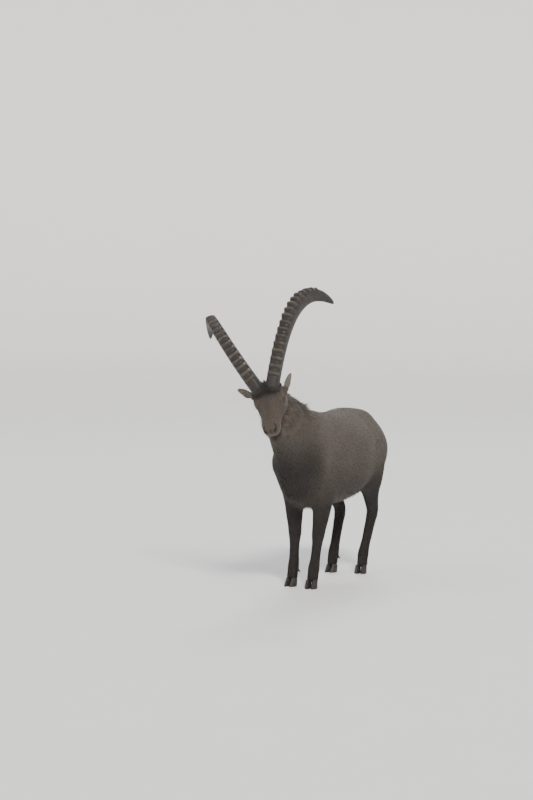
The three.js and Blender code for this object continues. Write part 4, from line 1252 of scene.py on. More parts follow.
class GeometryTree:
    """A Geometry Nodes tree with named inputs, made in code."""

    def __init__(self, name: str, inputs: dict[str, tuple[str, object]]) -> None:
        """Makes a tree with a Geometry input and the given ones.

        Args:
            name: the tree's name.
            inputs: the kind, such as Float, and first value of each input.
        """
        self.group = bpy.data.node_groups.new(name, "GeometryNodeTree")
        face = self.group.interface
        face.new_socket("Geometry", in_out="INPUT", socket_type="NodeSocketGeometry")
        self.names = {}
        for label, (kind, value) in inputs.items():
            made = face.new_socket(label, in_out="INPUT", socket_type=f"NodeSocket{kind}")
            if value is not None:
                made.default_value = value
            self.names[label] = made.identifier
        face.new_socket("Geometry", in_out="OUTPUT", socket_type="NodeSocketGeometry")
        self.start = self.group.nodes.new("NodeGroupInput")
        self.end = self.group.nodes.new("NodeGroupOutput")

    def add(self, kind: str, *links: object, **values: object) -> Node:
        """Adds a node.

        Args:
            kind: the node's type.
            links: a socket or plain value for each input in order; None leaves one alone.
            values: the node's own settings.

        Returns:
            The node.
        """
        made = self.group.nodes.new(kind)
        for key, value in values.items():
            setattr(made, key, value)
        sockets = [s for s in made.inputs if s.enabled]
        for socket, value in zip(sockets, links):
            if isinstance(value, NodeSocket):
                self.group.links.new(value, socket)
            elif value is not None:
                socket.default_value = value
        return made

    def link(self, a: NodeSocket, b: NodeSocket) -> None:
        """Joins an output to an input."""
        self.group.links.new(a, b)

    def math(self, operation: str, *links: object) -> NodeSocket:
        """A sum of numbers or sockets."""
        return self.add("ShaderNodeMath", *links, operation=operation).outputs[0]

    def read(self, name: str, kind: str = "FLOAT") -> NodeSocket:
        """A named attribute of the mesh."""
        made = self.add("GeometryNodeInputNamedAttribute", data_type=kind)
        return put(made, Name=name).outputs["Attribute"]

    def store(
        self, mesh: NodeSocket, name: str, value: NodeSocket
    ) -> NodeSocket:
        """Stores a number on every point.

        Args:
            mesh: the geometry.
            name: what the number is called.
            value: the socket that carries it.

        Returns:
            The geometry with the number.
        """
        made = self.add("GeometryNodeStoreNamedAttribute", data_type="FLOAT", domain="POINT")
        put(made, Name=name)
        self.link(mesh, made.inputs["Geometry"])
        self.link(value, made.inputs["Value"])
        return made.outputs["Geometry"]

    def chance(self, low: float, high: float) -> Node:
        """A random number for each item, between low and high, from the tree's seed."""
        made = self.add("FunctionNodeRandomValue", data_type="FLOAT")
        made.inputs[2].default_value = low
        made.inputs[3].default_value = high
        self.link(self.start.outputs["Seed"], made.inputs["Seed"])
        return made

    def ramp(self, value: NodeSocket, low: float, high: float) -> NodeSocket:
        """A smooth step from 0 at low to 1 at high."""
        made = self.add("ShaderNodeMapRange", value, interpolation_type="SMOOTHSTEP")
        return put(made, From_Min=low, From_Max=high).outputs["Result"]

    def finish(self, mesh: NodeSocket) -> None:
        """Ends the tree with real geometry in its finish.

        Args:
            mesh: the geometry so far.
        """
        real = self.add("GeometryNodeRealizeInstances", mesh)
        dressed = self.add("GeometryNodeSetMaterial", real.outputs[0])
        self.link(self.start.outputs["Finish"], dressed.inputs["Material"])
        self.link(dressed.outputs[0], self.end.inputs[0])

    def run(self, obj: Object, **values: object) -> None:
        """Runs the tree on an object and turns the result into its mesh.

        Args:
            obj: the object.
            values: a value for each named input.
        """
        mod = obj.modifiers.new(self.group.name, "NODES")
        mod.node_group = self.group
        for label, value in values.items():
            mod[self.names[label]] = value
        Kit.apply(obj)


@dataclass(frozen=True)
class HornRidges:
    """The tree that raises knobs and growth lines on a plain horn."""

    lines: float = 5.0

    def build(self) -> GeometryTree:
        """Makes the tree, which reads the along, facing and front attributes.

        Returns:
            The tree.
        """
        tree = GeometryTree(
            "horn_ridges",
            {
                "Knobs": ("Float", 17.0),
                "First": ("Float", 0.05),
                "End": ("Float", 0.83),
                "Seed": ("Int", 3),
                "Finish": ("Material", None),
            },
        )
        times, plus, minus = (partial(tree.math, name) for name in ("MULTIPLY", "ADD", "SUBTRACT"))
        start = tree.start.outputs
        along = tree.read("along")
        facing = tree.read("facing")
        span = minus(start["End"], start["First"])
        share = tree.math("DIVIDE", minus(along, start["First"]), span)
        phase = times(share, start["Knobs"])
        inside = times(tree.ramp(phase, 0.0, 0.3), tree.ramp(share, 1.0, 0.985))
        part = tree.math("POWER", tree.math("FRACT", phase), 1.25)
        wave = tree.math("SINE", times(part, math.pi))
        hill = times(tree.math("POWER", wave, 2.6), inside)
        chance = tree.chance(0.72, 1.18)
        tree.link(tree.math("FLOOR", phase), chance.inputs["ID"])
        crest = times(hill, chance.outputs[1])
        grown = plus(times(tree.ramp(along, 0.08, 0.5), 7.5), 7.0)
        less = minus(1.0, times(tree.ramp(along, 0.68, 0.83), 0.45))
        height = times(times(grown, less), crest)
        hollow = times(minus(1.0, hill), -2.2)
        hollow = times(hollow, inside)
        bumpy = put(tree.add("ShaderNodeTexNoise"), Scale=55.0, Detail=3.0)
        rough = times(minus(bumpy.outputs[0], 0.5), 1.6)
        turns = times(phase, self.lines * 2 * math.pi)
        turns = plus(turns, times(bumpy.outputs[0], 9.0))
        fine = times(tree.math("SINE", turns), 0.3)
        front = times(plus(height, hollow), facing)
        small = times(plus(fine, rough), tree.ramp(along, 0.97, 0.8))
        total = plus(front, small)
        way = tree.add("ShaderNodeVectorMath", tree.read("front", "FLOAT_VECTOR"), operation="SCALE")
        tree.link(times(total, 0.001), way.inputs["Scale"])
        moved = tree.add("GeometryNodeSetPosition", start["Geometry"])
        tree.link(way.outputs[0], moved.inputs["Offset"])
        worn = times(crest, plus(times(facing, 0.8), 0.2))
        tree.finish(tree.store(moved.outputs[0], "crest", worn))
        return tree


@dataclass
class Horn:
    """A long horn, curved back and out, with knobs along its flat front."""

    stance: Stance
    side: int
    length: float = 800.0
    deep: float = 90.0
    wide: float = 66.0
    lean: Place = (52.0, 41.0, 86.0)
    spread: tuple[float, float] = (24.0, 20.5)
    base: Place = (36.0, -46.0, 57.0)
    around: int = 48
    along: int = 540
    root: float = 0.028

    def way(self, t: Array) -> Array:
        """The horn's direction at shares of its length."""
        lean = np.radians(self.lean[0] + self.lean[1] * t + self.lean[2] * t * t)
        out = np.radians(self.spread[0] + (self.spread[1] - self.spread[0]) * t)
        local = np.stack(
            [self.side * np.sin(out), -np.cos(out) * np.sin(lean), np.cos(out) * np.cos(lean)], 1
        )
        return unit(local @ self.stance.axes())

    def build(self, tree: GeometryTree, material: Material) -> Object:
        """Makes the horn.

        Args:
            tree: the tree that raises its knobs.
            material: its finish.

        Returns:
            The horn's object.
        """
        count = self.along // 1
        t = np.linspace(-self.root, 0.998, count)
        way = self.way(t)
        steps = self.way((t[1:] + t[:-1]) / 2) * (np.diff(t) * self.length / 1000.0)[:, None]
        start = self.stance.in_head(self.side * self.base[0], self.base[1], self.base[2])
        line = np.concatenate([np.zeros((1, 3)), np.cumsum(steps, 0)])
        line = line + start - np.array([np.interp(0.0, t, line[:, k]) for k in range(3)])
        bend = way - self.way(t + 0.02)
        front = unit(bend - way * np.sum(bend * way, 1, keepdims=True))
        side = np.cross(way, front)
        taper = (1 - 0.1 * t) * np.sqrt(np.maximum(1 - np.clip(t, 0, 1) ** 4.4, 0.0006))
        taper = taper * (0.9 + 0.1 * ramp(t, -self.root, 0.0))
        turn = (np.arange(self.around) + 0.5) / self.around * 2 * np.pi
        c, d = np.cos(turn), np.sin(turn)
        deep = np.sign(c) * np.abs(c) ** np.where(c > 0, 0.6, 0.85) * self.deep / 2
        wide = np.sign(d) * np.abs(d) ** 0.75 * self.wide / 2 * np.where(c < 0, 1 + 0.22 * c, 1.0)
        x = deep[None, :] * taper[:, None]
        y = wide[None, :] * taper[:, None]
        rings = line[:, None] + (front[:, None] * x[..., None] + side[:, None] * y[..., None]) / 1000.0
        verts = np.concatenate([rings.reshape(-1, 3), line[[0]], line[[-1]] + way[[-1]] * 0.0015])
        m = self.around
        label = SIDES[self.side]
        obj = Kit.make(f"horn_{label}_dressed", verts, Kit.tube(count, m)[:, ::-1], material)
        boss = ramp(c, 0.05, 0.75) * (0.86 + 0.22 * np.abs(d))
        ends = [0.0, 0.0]
        Kit.attribute(obj.data, "along", "FLOAT", np.r_[np.repeat(t, m), 0.0, 1.0])
        Kit.attribute(obj.data, "around", "FLOAT", np.r_[np.tile(np.abs(turn - np.pi), count), ends])
        Kit.attribute(obj.data, "facing", "FLOAT", np.r_[np.tile(boss, count), ends])
        out = np.concatenate([np.repeat(front, m, 0), np.zeros((2, 3))])
        Kit.attribute(obj.data, "front", "FLOAT_VECTOR", out)
        tree.run(obj, Seed=31 + self.side, Finish=material)
        Kit.smooth(obj.data)
        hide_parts(f"horn_{label}")
        return obj


@dataclass
class Eye:
    """A whole eyeball with a bulging cornea, looking out to its side and forward."""

    stance: Stance
    side: int
    cornea: float = 0.9
    rows: int = 36
    columns: int = 48

    def build(self, material: Material) -> Object:
        """Makes the eyeball.

        Args:
            material: its finish.

        Returns:
            The eye's object.
        """
        gaze = unit(self.stance.look(self.side) @ self.stance.axes())
        level = unit(np.cross(np.array([0.0, 0.0, 1.0]), gaze))
        over = np.cross(gaze, level)
        polar = np.linspace(0, np.pi, self.rows + 1)[1:-1]
        turn = np.arange(self.columns) / self.columns * 2 * np.pi
        p, q = np.meshgrid(polar, turn, indexing="ij")
        local = np.stack([np.sin(p) * np.cos(q), np.sin(p) * np.sin(q), np.cos(p)], -1).reshape(-1, 3)
        local = np.concatenate([local, [[0, 0, 1], [0, 0, -1]]])
        grow = self.stance.eye_radius + self.cornea * ramp(local[:, 2], 0.72, 0.95)
        centre = self.stance.in_head(*self.stance.eye(self.side))
        verts = centre + (local * grow[:, None] / 1000.0) @ np.array([level, over, gaze])
        label = SIDES[self.side]
        faces = Kit.tube(self.rows - 1, self.columns)
        obj = Kit.make(f"eye_{label}_dressed", verts, faces, material)
        Kit.attribute(obj.data, "gaze", "FLOAT_VECTOR", local)
        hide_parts(f"eye_{label}")
        return obj


@dataclass(frozen=True)
class Claw:
    """One claw of a cloven hoof, in millimetres: half is 1 for the left claw of the foot."""

    half: int
    sole: float = 66.0
    wide: float = 28.0
    cleft: float = 1.2
    coronet: float = 42.0
    rise: float = 0.24
    slope: float = 52.0
    around: int = 44
    levels: tuple[float, ...] = (
        *(0.0, 0.02, 0.06, 0.13, 0.22, 0.34, 0.46),
        *(0.58, 0.7, 0.82, 0.92, 1.0, 1.07, 1.16),
    )

    def rings(self) -> Array:
        """Rings from the sole to inside the coronet, as left, forward and up."""
        turn = np.arange(self.around) / self.around * 2 * np.pi
        reach, across = np.cos(turn), np.sin(turn)
        out = []
        for u in self.levels:
            up = min(u, 1.0) * self.coronet
            lean = up / math.tan(math.radians(self.slope))
            edge = 2.6 * (1 - min(u / 0.1, 1.0)) ** 2
            toe = self.sole * 0.64 - lean * 0.92 - edge - 1.2 * math.sin(math.pi * min(u, 1.0))
            heel = -self.sole * 0.38 - up * 0.1 + edge - 1.6 * math.sin(math.pi * min(u * 1.6, 1.0))
            half = self.wide / 2 * (1.06 - up * 0.003) - edge * 0.6
            neck = 1.0 - 0.5 * max(u - 1.0, 0.0) / 0.16
            shape = np.sign(reach) * np.abs(reach) ** 0.92
            length = (heel + toe) / 2 + (toe - heel) / 2 * shape * neck
            x = across * half * (1 + 0.2 * (1 - reach**2)) * (1 - 0.42 * ramp(reach, 0.1, 1.0)) * neck
            x = np.where(x * self.half < 0, 0.8 * x, x)
            x = x + self.half * (self.wide / 2 + self.cleft + 0.03 * np.maximum(length, 0))
            x = x - self.half * 2.2 * ramp(length, 14.0, 44.0) * (1 - 0.6 * min(u, 1.0))
            z = u * (self.coronet + self.rise * length)
            out.append(np.stack([x, length, z], 1))
        return np.array(out)


@dataclass
class Hooves:
    """The claws and dewclaws of the four feet."""

    stance: Stance
    bevel: float = 0.0012
    feet: dict[str, Place] = field(
        default_factory=lambda: {
            "foreleg_left": (64.0, 62.0, 6.0),
            "foreleg_right": (-66.0, 28.0, -6.0),
            "hindleg_left": (82.0, -550.0, 8.0),
            "hindleg_right": (-80.0, -528.0, -6.0),
        }
    )

    def claw(self, leg: str, name: str, material: Material) -> Object:
        """Makes one claw.

        Args:
            leg: the leg's node.
            name: inner or outer.
            material: its finish.

        Returns:
            The claw's object.
        """
        left, forward, toe = self.feet[leg]
        half = int(math.copysign(1, left)) * (1 if name == "outer" else -1)
        rings = Claw(half).rings()
        middle = [rings[0].mean(0), rings[-1].mean(0)]
        local = np.concatenate([rings.reshape(-1, 3), middle]) * [1.0, -1.0, 1.0]
        turn = math.radians(toe)
        c, d = math.cos(turn), math.sin(turn)
        spin = np.array([[c, -d, 0], [d, c, 0], [0, 0, 1]])
        verts = self.stance.at(left, forward, 0.0) + local @ spin.T / 1000.0
        obj = Kit.make(f"{leg}_claw_{name}_dressed", verts, Kit.tube(*rings.shape[:2]), material)
        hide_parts(f"{leg}_claw_{name}")
        return obj

    def build(self, material: Material) -> list[Object]:
        """Makes one piece for each claw and dewclaw.

        Args:
            material: their finish.

        Returns:
            The pieces.
        """
        made = [self.claw(leg, name, material) for leg in self.feet for name in ("inner", "outer")]
        for node in sorted(n for n in frame["nodes"] if "dewclaw" in n):
            co, tris = Kit.merged(node)
            obj = Kit.make(f"{node}_dressed", co, tris, material)
            mod = obj.modifiers.new("Bevel", "BEVEL")
            mod.width = self.bevel
            mod.segments = 2
            mod.limit_method = "ANGLE"
            mod.angle_limit = math.radians(34)
            Kit.apply(obj)
            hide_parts(node)
            made.append(obj)
        for obj in made:
            Kit.smooth(obj.data)
            obj.data.set_sharp_from_angle(angle=math.radians(50))
        return made


@dataclass(frozen=True)
class Tuft:
    """The sizes of one kind of tuft, in millimetres, and how far its tip stands off the skin."""

    length: float
    width: float
    thick: float
    stand: float
    spacing: float
    stray: float = 0.16


@dataclass
class Roots:
    """Where hair grows: places on the skin with what the skin carries there."""

    place: Array
    normal: Array
    flow: Array
    marking: Array
    shares: Array

    def pick(self, own: Array) -> "Roots":
        """Some of the roots, by number or by a mask."""
        return Roots(self.place[own], self.normal[own], self.flow[own], self.marking[own], self.shares[own])


@dataclass
class Hide:
    """The finished skin as the ground that hair is set on."""

    skin: Skin
    obj: Object
    points: Array = field(init=False)
    normals: Array = field(init=False)
    tris: Array = field(init=False)
    areas: Array = field(init=False)

    def __post_init__(self) -> None:
        """Reads the skin's triangles."""
        mesh = self.obj.data
        self.tris = Kit.triangles(mesh)
        self.points = Kit.points(mesh)
        self.normals = Kit.normals(mesh)
        a, b, c = (self.points[self.tris[:, k]] for k in range(3))
        self.areas = norm(np.cross(b - a, c - a)) / 2

    def scatter(self, spacing: Array, rng: Rng) -> Roots:
        """Scatters roots over the skin.

        Args:
            spacing: for each of the skin's points, how far apart they stand in millimetres, or
                BARE where none grow.
            rng: the source of chance.

        Returns:
            The roots.
        """
        wide = spacing[self.tris].max(1)
        wanted = np.where(wide >= BARE, 0.0, self.areas * 1e6 / np.maximum(wide, 1.2) ** 2)
        wanted *= 1.0
        count = np.floor(wanted + rng.random(len(wanted))).astype(int)
        pick = np.repeat(np.arange(len(self.tris)), count)
        u, v = rng.random(len(pick)), rng.random(len(pick))
        flip = u + v > 1
        u[flip], v[flip] = 1 - u[flip], 1 - v[flip]
        w = np.stack([1 - u - v, u, v], 1)
        at = self.tris[pick]

        def read(values: Array) -> Array:
            """Values of the skin's points at the roots."""
            return np.einsum("nk,nkc->nc", w, values[at])

        skin = self.skin
        return Roots(
            read(self.points),
            unit(read(self.normals)),
            unit(read(skin.flow)),
            read(skin.marking),
            read(skin.shares),
        )


class HairMesh:
    """Turns tufts and locks into joined, closed meshes with colours and a bake map."""

    LIMIT = 190000

    def __init__(self, stance: Stance) -> None:
        """Keeps the stance for the unwrap."""
        self.stance = stance

    def ground(self, roots: Roots, stray: Array, rng: Rng) -> tuple[Array, Array]:
        """The way each hair lies and the way to its right, with some straying.

        Args:
            roots: where the hairs grow.
            stray: how far each strays, in radians.
            rng: the source of chance.

        Returns:
            Two unit directions for each root, both flat on the skin.
        """
        normal, flow = roots.normal, roots.flow
        lie = unit(flow - normal * np.sum(flow * normal, 1, keepdims=True))
        right = np.cross(lie, normal)
        turn = rng.normal(0, 1, len(lie)) * stray
        lie = lie * np.cos(turn)[:, None] + right * np.sin(turn)[:, None]
        return lie, np.cross(lie, normal)

    def tufts(
        self, roots: Roots, size: dict[str, Array], rng: Rng
    ) -> tuple[Array, Array, Array]:
        """Short tufts, each six faces round a bent spindle.

        Args:
            roots: where they grow.
            size: length, width, thick, stand and stray of each.
            rng: the source of chance.

        Returns:
            Points of each tuft, its faces, and the brightness of each of its points.
        """
        lie, right = self.ground(roots, size["stray"], rng)
        n = len(lie)
        normal = roots.normal
        sway = rng.normal(0, 0.1, n)[:, None]
        length, stand = size["length"][:, None], size["stand"][:, None]
        root = roots.place * 1000.0 - normal * 0.9 - lie * length * 0.15
        mid = root + lie * length * 0.46 + normal * (0.9 + stand * 0.55) + right * sway * length * 0.3
        tip = root + lie * length + normal * (0.9 + stand) + right * sway * length
        half = right * size["width"][:, None] / 2
        rise = unit(normal - lie * 0.3) * size["thick"][:, None]
        verts = np.stack([root, mid - half, mid + half, mid + rise, tip], 1) / 1000.0
        faces = np.array([[0, 3, 1], [0, 2, 3], [0, 1, 2], [4, 1, 3], [4, 3, 2], [4, 2, 1]])
        return verts, faces, np.array([0.5, 0.92, 0.92, 1.0, 1.42])

    def locks(
        self, roots: Roots, size: dict[str, Array], fall: Array, rng: Rng, rings: int = 6
    ) -> tuple[Array, Array, Array]:
        """Long locks that rise from the skin, bend, and hang.

        Args:
            roots: where they grow.
            size: length, width, thick, stand, stray and hug of each.
            fall: the direction in which each ends.
            rng: the source of chance.
            rings: sections along a lock.

        Returns:
            Points of each lock, its faces, and the brightness of each of its points.
        """
        lie, right = self.ground(roots, size["stray"], rng)
        n = len(lie)
        length = size["length"][:, None]
        lift = size["stand"][:, None] / length
        place = roots.place * 1000.0 - roots.normal * 2.5
        begin = unit(lie * size["hug"][:, None] + roots.normal * lift * 2.4)
        end = unit(fall + rng.normal(0, 0.09, (n, 3)))
        parts, bright = [], []
        for k in range(rings):
            t = k / rings
            run = unit(begin * (1 - t) + end * t)
            face = unit(np.cross(right, run))
            taper = (1 - t) ** 0.6 * (0.7 + 0.8 * t)
            half = right * (size["width"][:, None] / 2 * taper)
            rise = face * (size["thick"][:, None] * taper)
            parts += [place - half, place + half, place + rise]
            bright += [0.55 + 0.6 * t] * 3
            place = place + run * (length / rings)
        verts = np.stack([*parts, place], 1) / 1000.0
        faces = [[0, 1, 2]]
        for k in range(rings - 1):
            a, b, c = 3 * k, 3 * k + 1, 3 * k + 2
            a1, b1, c1 = a + 3, b + 3, c + 3
            faces += [[a, c, c1], [a, c1, a1], [c, b, b1], [c, b1, c1], [b, a, a1], [b, a1, b1]]
        a, b, c, tip = 3 * rings - 3, 3 * rings - 2, 3 * rings - 1, 3 * rings
        faces += [[a, c, tip], [c, b, tip], [b, a, tip]]
        return verts, np.array(faces), np.array([*bright, 1.4])

    def unwrap(self, roots: Roots) -> Array:
        """Unwraps the skin round the axis of each part.

        Args:
            roots: where the hairs grow.

        Returns:
            For each root its turn about its part's axis and its place along it.
        """
        b = self.stance.body(roots.place)
        q = self.stance.head(roots.place)
        part = roots.shares.argmax(1)
        out_left = np.abs(b[:, 0])
        rolls = {
            Region.TORSO: (b[:, 0], b[:, 2] - 650.0, b[:, 1]),
            Region.NECK: (b[:, 0], b[:, 2] - b[:, 1] * 0.75 - 690.0, b[:, 1] * 0.8 + b[:, 2] * 0.6),
            Region.HEAD: (q[:, 0], q[:, 2] + 20.0, q[:, 1]),
            Region.EAR: (q[:, 2] + 6.0, -q[:, 1] - 60.0, np.abs(q[:, 0])),
            Region.TAIL: (b[:, 0], b[:, 1] + 785.0, b[:, 2]),
            Region.FORELEG: (out_left - 72.0, b[:, 1], b[:, 2]),
            Region.HINDLEG: (out_left - 86.0, b[:, 1] + 620.0, b[:, 2]),
        }
        out = np.zeros((len(b), 2))
        for number, region in enumerate(Region):
            x, y, along = rolls[region]
            place = np.stack([np.arctan2(x, y) / (2 * np.pi) + 0.5, along / 1000.0], 1)
            out[part == number] = place[part == number]
        return out

    def pieces(
        self,
        name: str,
        roots: Roots,
        made: tuple[Array, Array, Array],
        material: Material,
        rng: Rng,
    ) -> list[Object]:
        """Joins hairs into pieces that are small enough to keep whole.

        Args:
            name: what the pieces are called.
            roots: where the hairs grow.
            made: points, faces and brightness from tufts or locks.
            material: their finish.
            rng: the source of chance.

        Returns:
            The pieces.
        """
        verts, faces, bright = made
        n, each = verts.shape[:2]
        places = self.unwrap(roots)
        shade = np.exp(rng.normal(0, 0.2, n))[:, None, None]
        warm = 1 + rng.normal(0, 0.05, n)[:, None, None] * np.array([1.0, 0.0, -1.0])
        tones = roots.marking[:, None] * bright[None, :, None] * shade * warm
        corner = np.linspace(0, 2 * np.pi, each, endpoint=False)
        patch = 0.0015 * (1 + np.stack([np.cos(corner), np.sin(corner)], 1))
        order = np.argsort(places[:, 1])
        per = self.LIMIT // len(faces)
        parts = math.ceil(n / per)
        out = []
        for k, own in enumerate(np.array_split(order, max(parts, 1))):
            flat = (faces[None] + (np.arange(len(own)) * each)[:, None, None]).reshape(-1, 3)
            tail = f"_{k + 1}" if parts > 1 else ""
            obj = Kit.make(name + tail, verts[own].reshape(-1, 3), flat, material)
            tone = tones[own].reshape(-1, 3)
            Kit.attribute(obj.data, "marking", "FLOAT_COLOR", np.c_[tone, np.ones(len(tone))])
            low, high = places[own].min(0), places[own].max(0)
            spot = (places[own] - low) / np.maximum(high - low, 1e-6) * 0.996
            spread = (spot[:, None] + patch[None]).reshape(-1, 2)
            layer = obj.data.uv_layers.new(name="OFBake")
            layer.uv.foreach_set("vector", spread[flat.ravel()].astype(np.float32).ravel())
            out.append(obj)
        return out


@dataclass
class Coat:
    """Short tufts all over the skin, following the lie of the coat."""

    stance: Stance
    hide: Hide
    kinds: dict[Region, Tuft] = field(
        default_factory=lambda: {
            Region.TORSO: Tuft(28.5, 2.55, 0.9, 6.0, 3.65),
            Region.NECK: Tuft(32.0, 2.6, 1.0, 7.5, 3.5),
            Region.HEAD: Tuft(10.0, 1.3, 0.5, 1.2, 2.0, 0.12),
            Region.EAR: Tuft(9.0, 1.2, 0.45, 0.9, 2.0, 0.12),
            Region.TAIL: Tuft(26.0, 2.6, 1.0, 6.0, 3.4),
            Region.FORELEG: Tuft(13.0, 1.75, 0.6, 1.8, 2.5, 0.13),
            Region.HINDLEG: Tuft(13.0, 1.75, 0.6, 1.8, 2.5, 0.13),
        }
    )
    lid_at: Place = (62.0, 2.0, 2.0)
    seed: int = 404

    def table(self, name: str) -> Array:
        """One size of every kind of tuft, in the regions' order."""
        return np.array([getattr(self.kinds[r], name) for r in Region])

    def sizes(self, roots: Roots, rng: Rng) -> dict[str, Array]:
        """Sizes the tufts, shorter on the face and the feet and longer under the belly.

        Args:
            roots: where they grow.
            rng: the source of chance.

        Returns:
            The length, width, thick, stand and stray of each.
        """
        b = self.stance.body(roots.place)
        q = self.stance.head(roots.place)
        size = {k: roots.shares @ self.table(k) for k in ("length", "width", "thick", "stand", "stray")}
        head = self.hide.skin.head_share(roots.place)
        muzzle = head * ramp(q[:, 1], 30.0, 140.0)
        foot = ramp(b[:, 2], 170.0, 70.0)
        under = ramp(roots.normal[:, 2], -0.3, -0.8) * ramp(b[:, 2], 620.0, 520.0)
        crown = head * ramp(q[:, 2], 34.0, 50.0) * ramp(q[:, 1], 26.0, -8.0)
        throat = head * ramp(q[:, 2], -66.0, -90.0) * ramp(q[:, 1], 60.0, 0.0)
        size["length"] *= (1 - 0.5 * muzzle) * (1 - 0.25 * foot) * (1 + 0.2 * under)
        size["length"] *= 1 + 0.8 * crown + throat
        size["stand"] *= (1 - 0.65 * muzzle) * (1 - 0.3 * foot) * (1 + 0.4 * under)
        size["stand"] *= 1 + 1.4 * crown + throat
        size["width"] *= (1 - 0.2 * muzzle) * (1 - 0.1 * foot)
        size["stray"] = size["stray"] + 0.3 * crown
        tip = ramp(self.stance.ear_reach(q), 96.0, 122.0)
        size["length"] *= 1 - 0.5 * tip * roots.shares[:, list(Region).index(Region.EAR)]
        for side in (-1, 1):
            eye = norm(q - [side * self.lid_at[0], *self.lid_at[1:]])
            close = 1 - 0.45 * ramp(eye, 42.0, 26.0) * head
            size["length"] *= close
            size["stand"] *= close
        n = len(b)
        size["length"] *= 0.75 + 0.5 * rng.random(n)
        size["width"] *= 0.8 + 0.4 * rng.random(n)
        size["stand"] *= 0.7 + 0.6 * rng.random(n)
        return size

    def build(self, maker: HairMesh, material: Material) -> list[Object]:
        """Makes the short coat.

        Args:
            maker: turns tufts into meshes.
            material: their finish.

        Returns:
            The pieces, by region and side.
        """
        rng = np.random.default_rng(self.seed)
        skin = self.hide.skin
        spacing = skin.shares @ self.table("spacing")
        q = self.stance.head(self.hide.points)
        head = skin.head_share(self.hide.points)
        face = head * ramp(q[:, 1], 20.0, 130.0)
        eyes = head * ramp(norm(np.abs(q) - self.lid_at), 44.0, 28.0)
        spacing = np.where(skin.bare > 0.35, BARE, spacing * (1 - 0.15 * face) * (1 - 0.22 * eyes))
        roots = self.hide.scatter(spacing, rng)
        part = roots.shares.argmax(1)
        left = self.stance.body(roots.place)[:, 0] >= 0
        out = []
        for number, region in enumerate(Region):
            for side, label in ((left, "left"), (~left, "right")):
                own = roots.pick((part == number) & side)
                made = maker.tufts(own, self.sizes(own, rng), rng)
                out += maker.pieces(f"coat_{region.name.lower()}_{label}", own, made, material, rng)
        LOG.info("coat: %d tufts in %d pieces", len(part), len(out))
        return out


@dataclass(frozen=True)
class LongHair:
    """One growth of long locks: where it grows, how dense, and its sizes in millimetres."""

    name: str
    spacing: float
    length: tuple[float, float]
    width: float
    thick: float
    stand: float
    fall: Place
    stray: float = 0.2
    hug: float = 1.0
    rings: int = 5


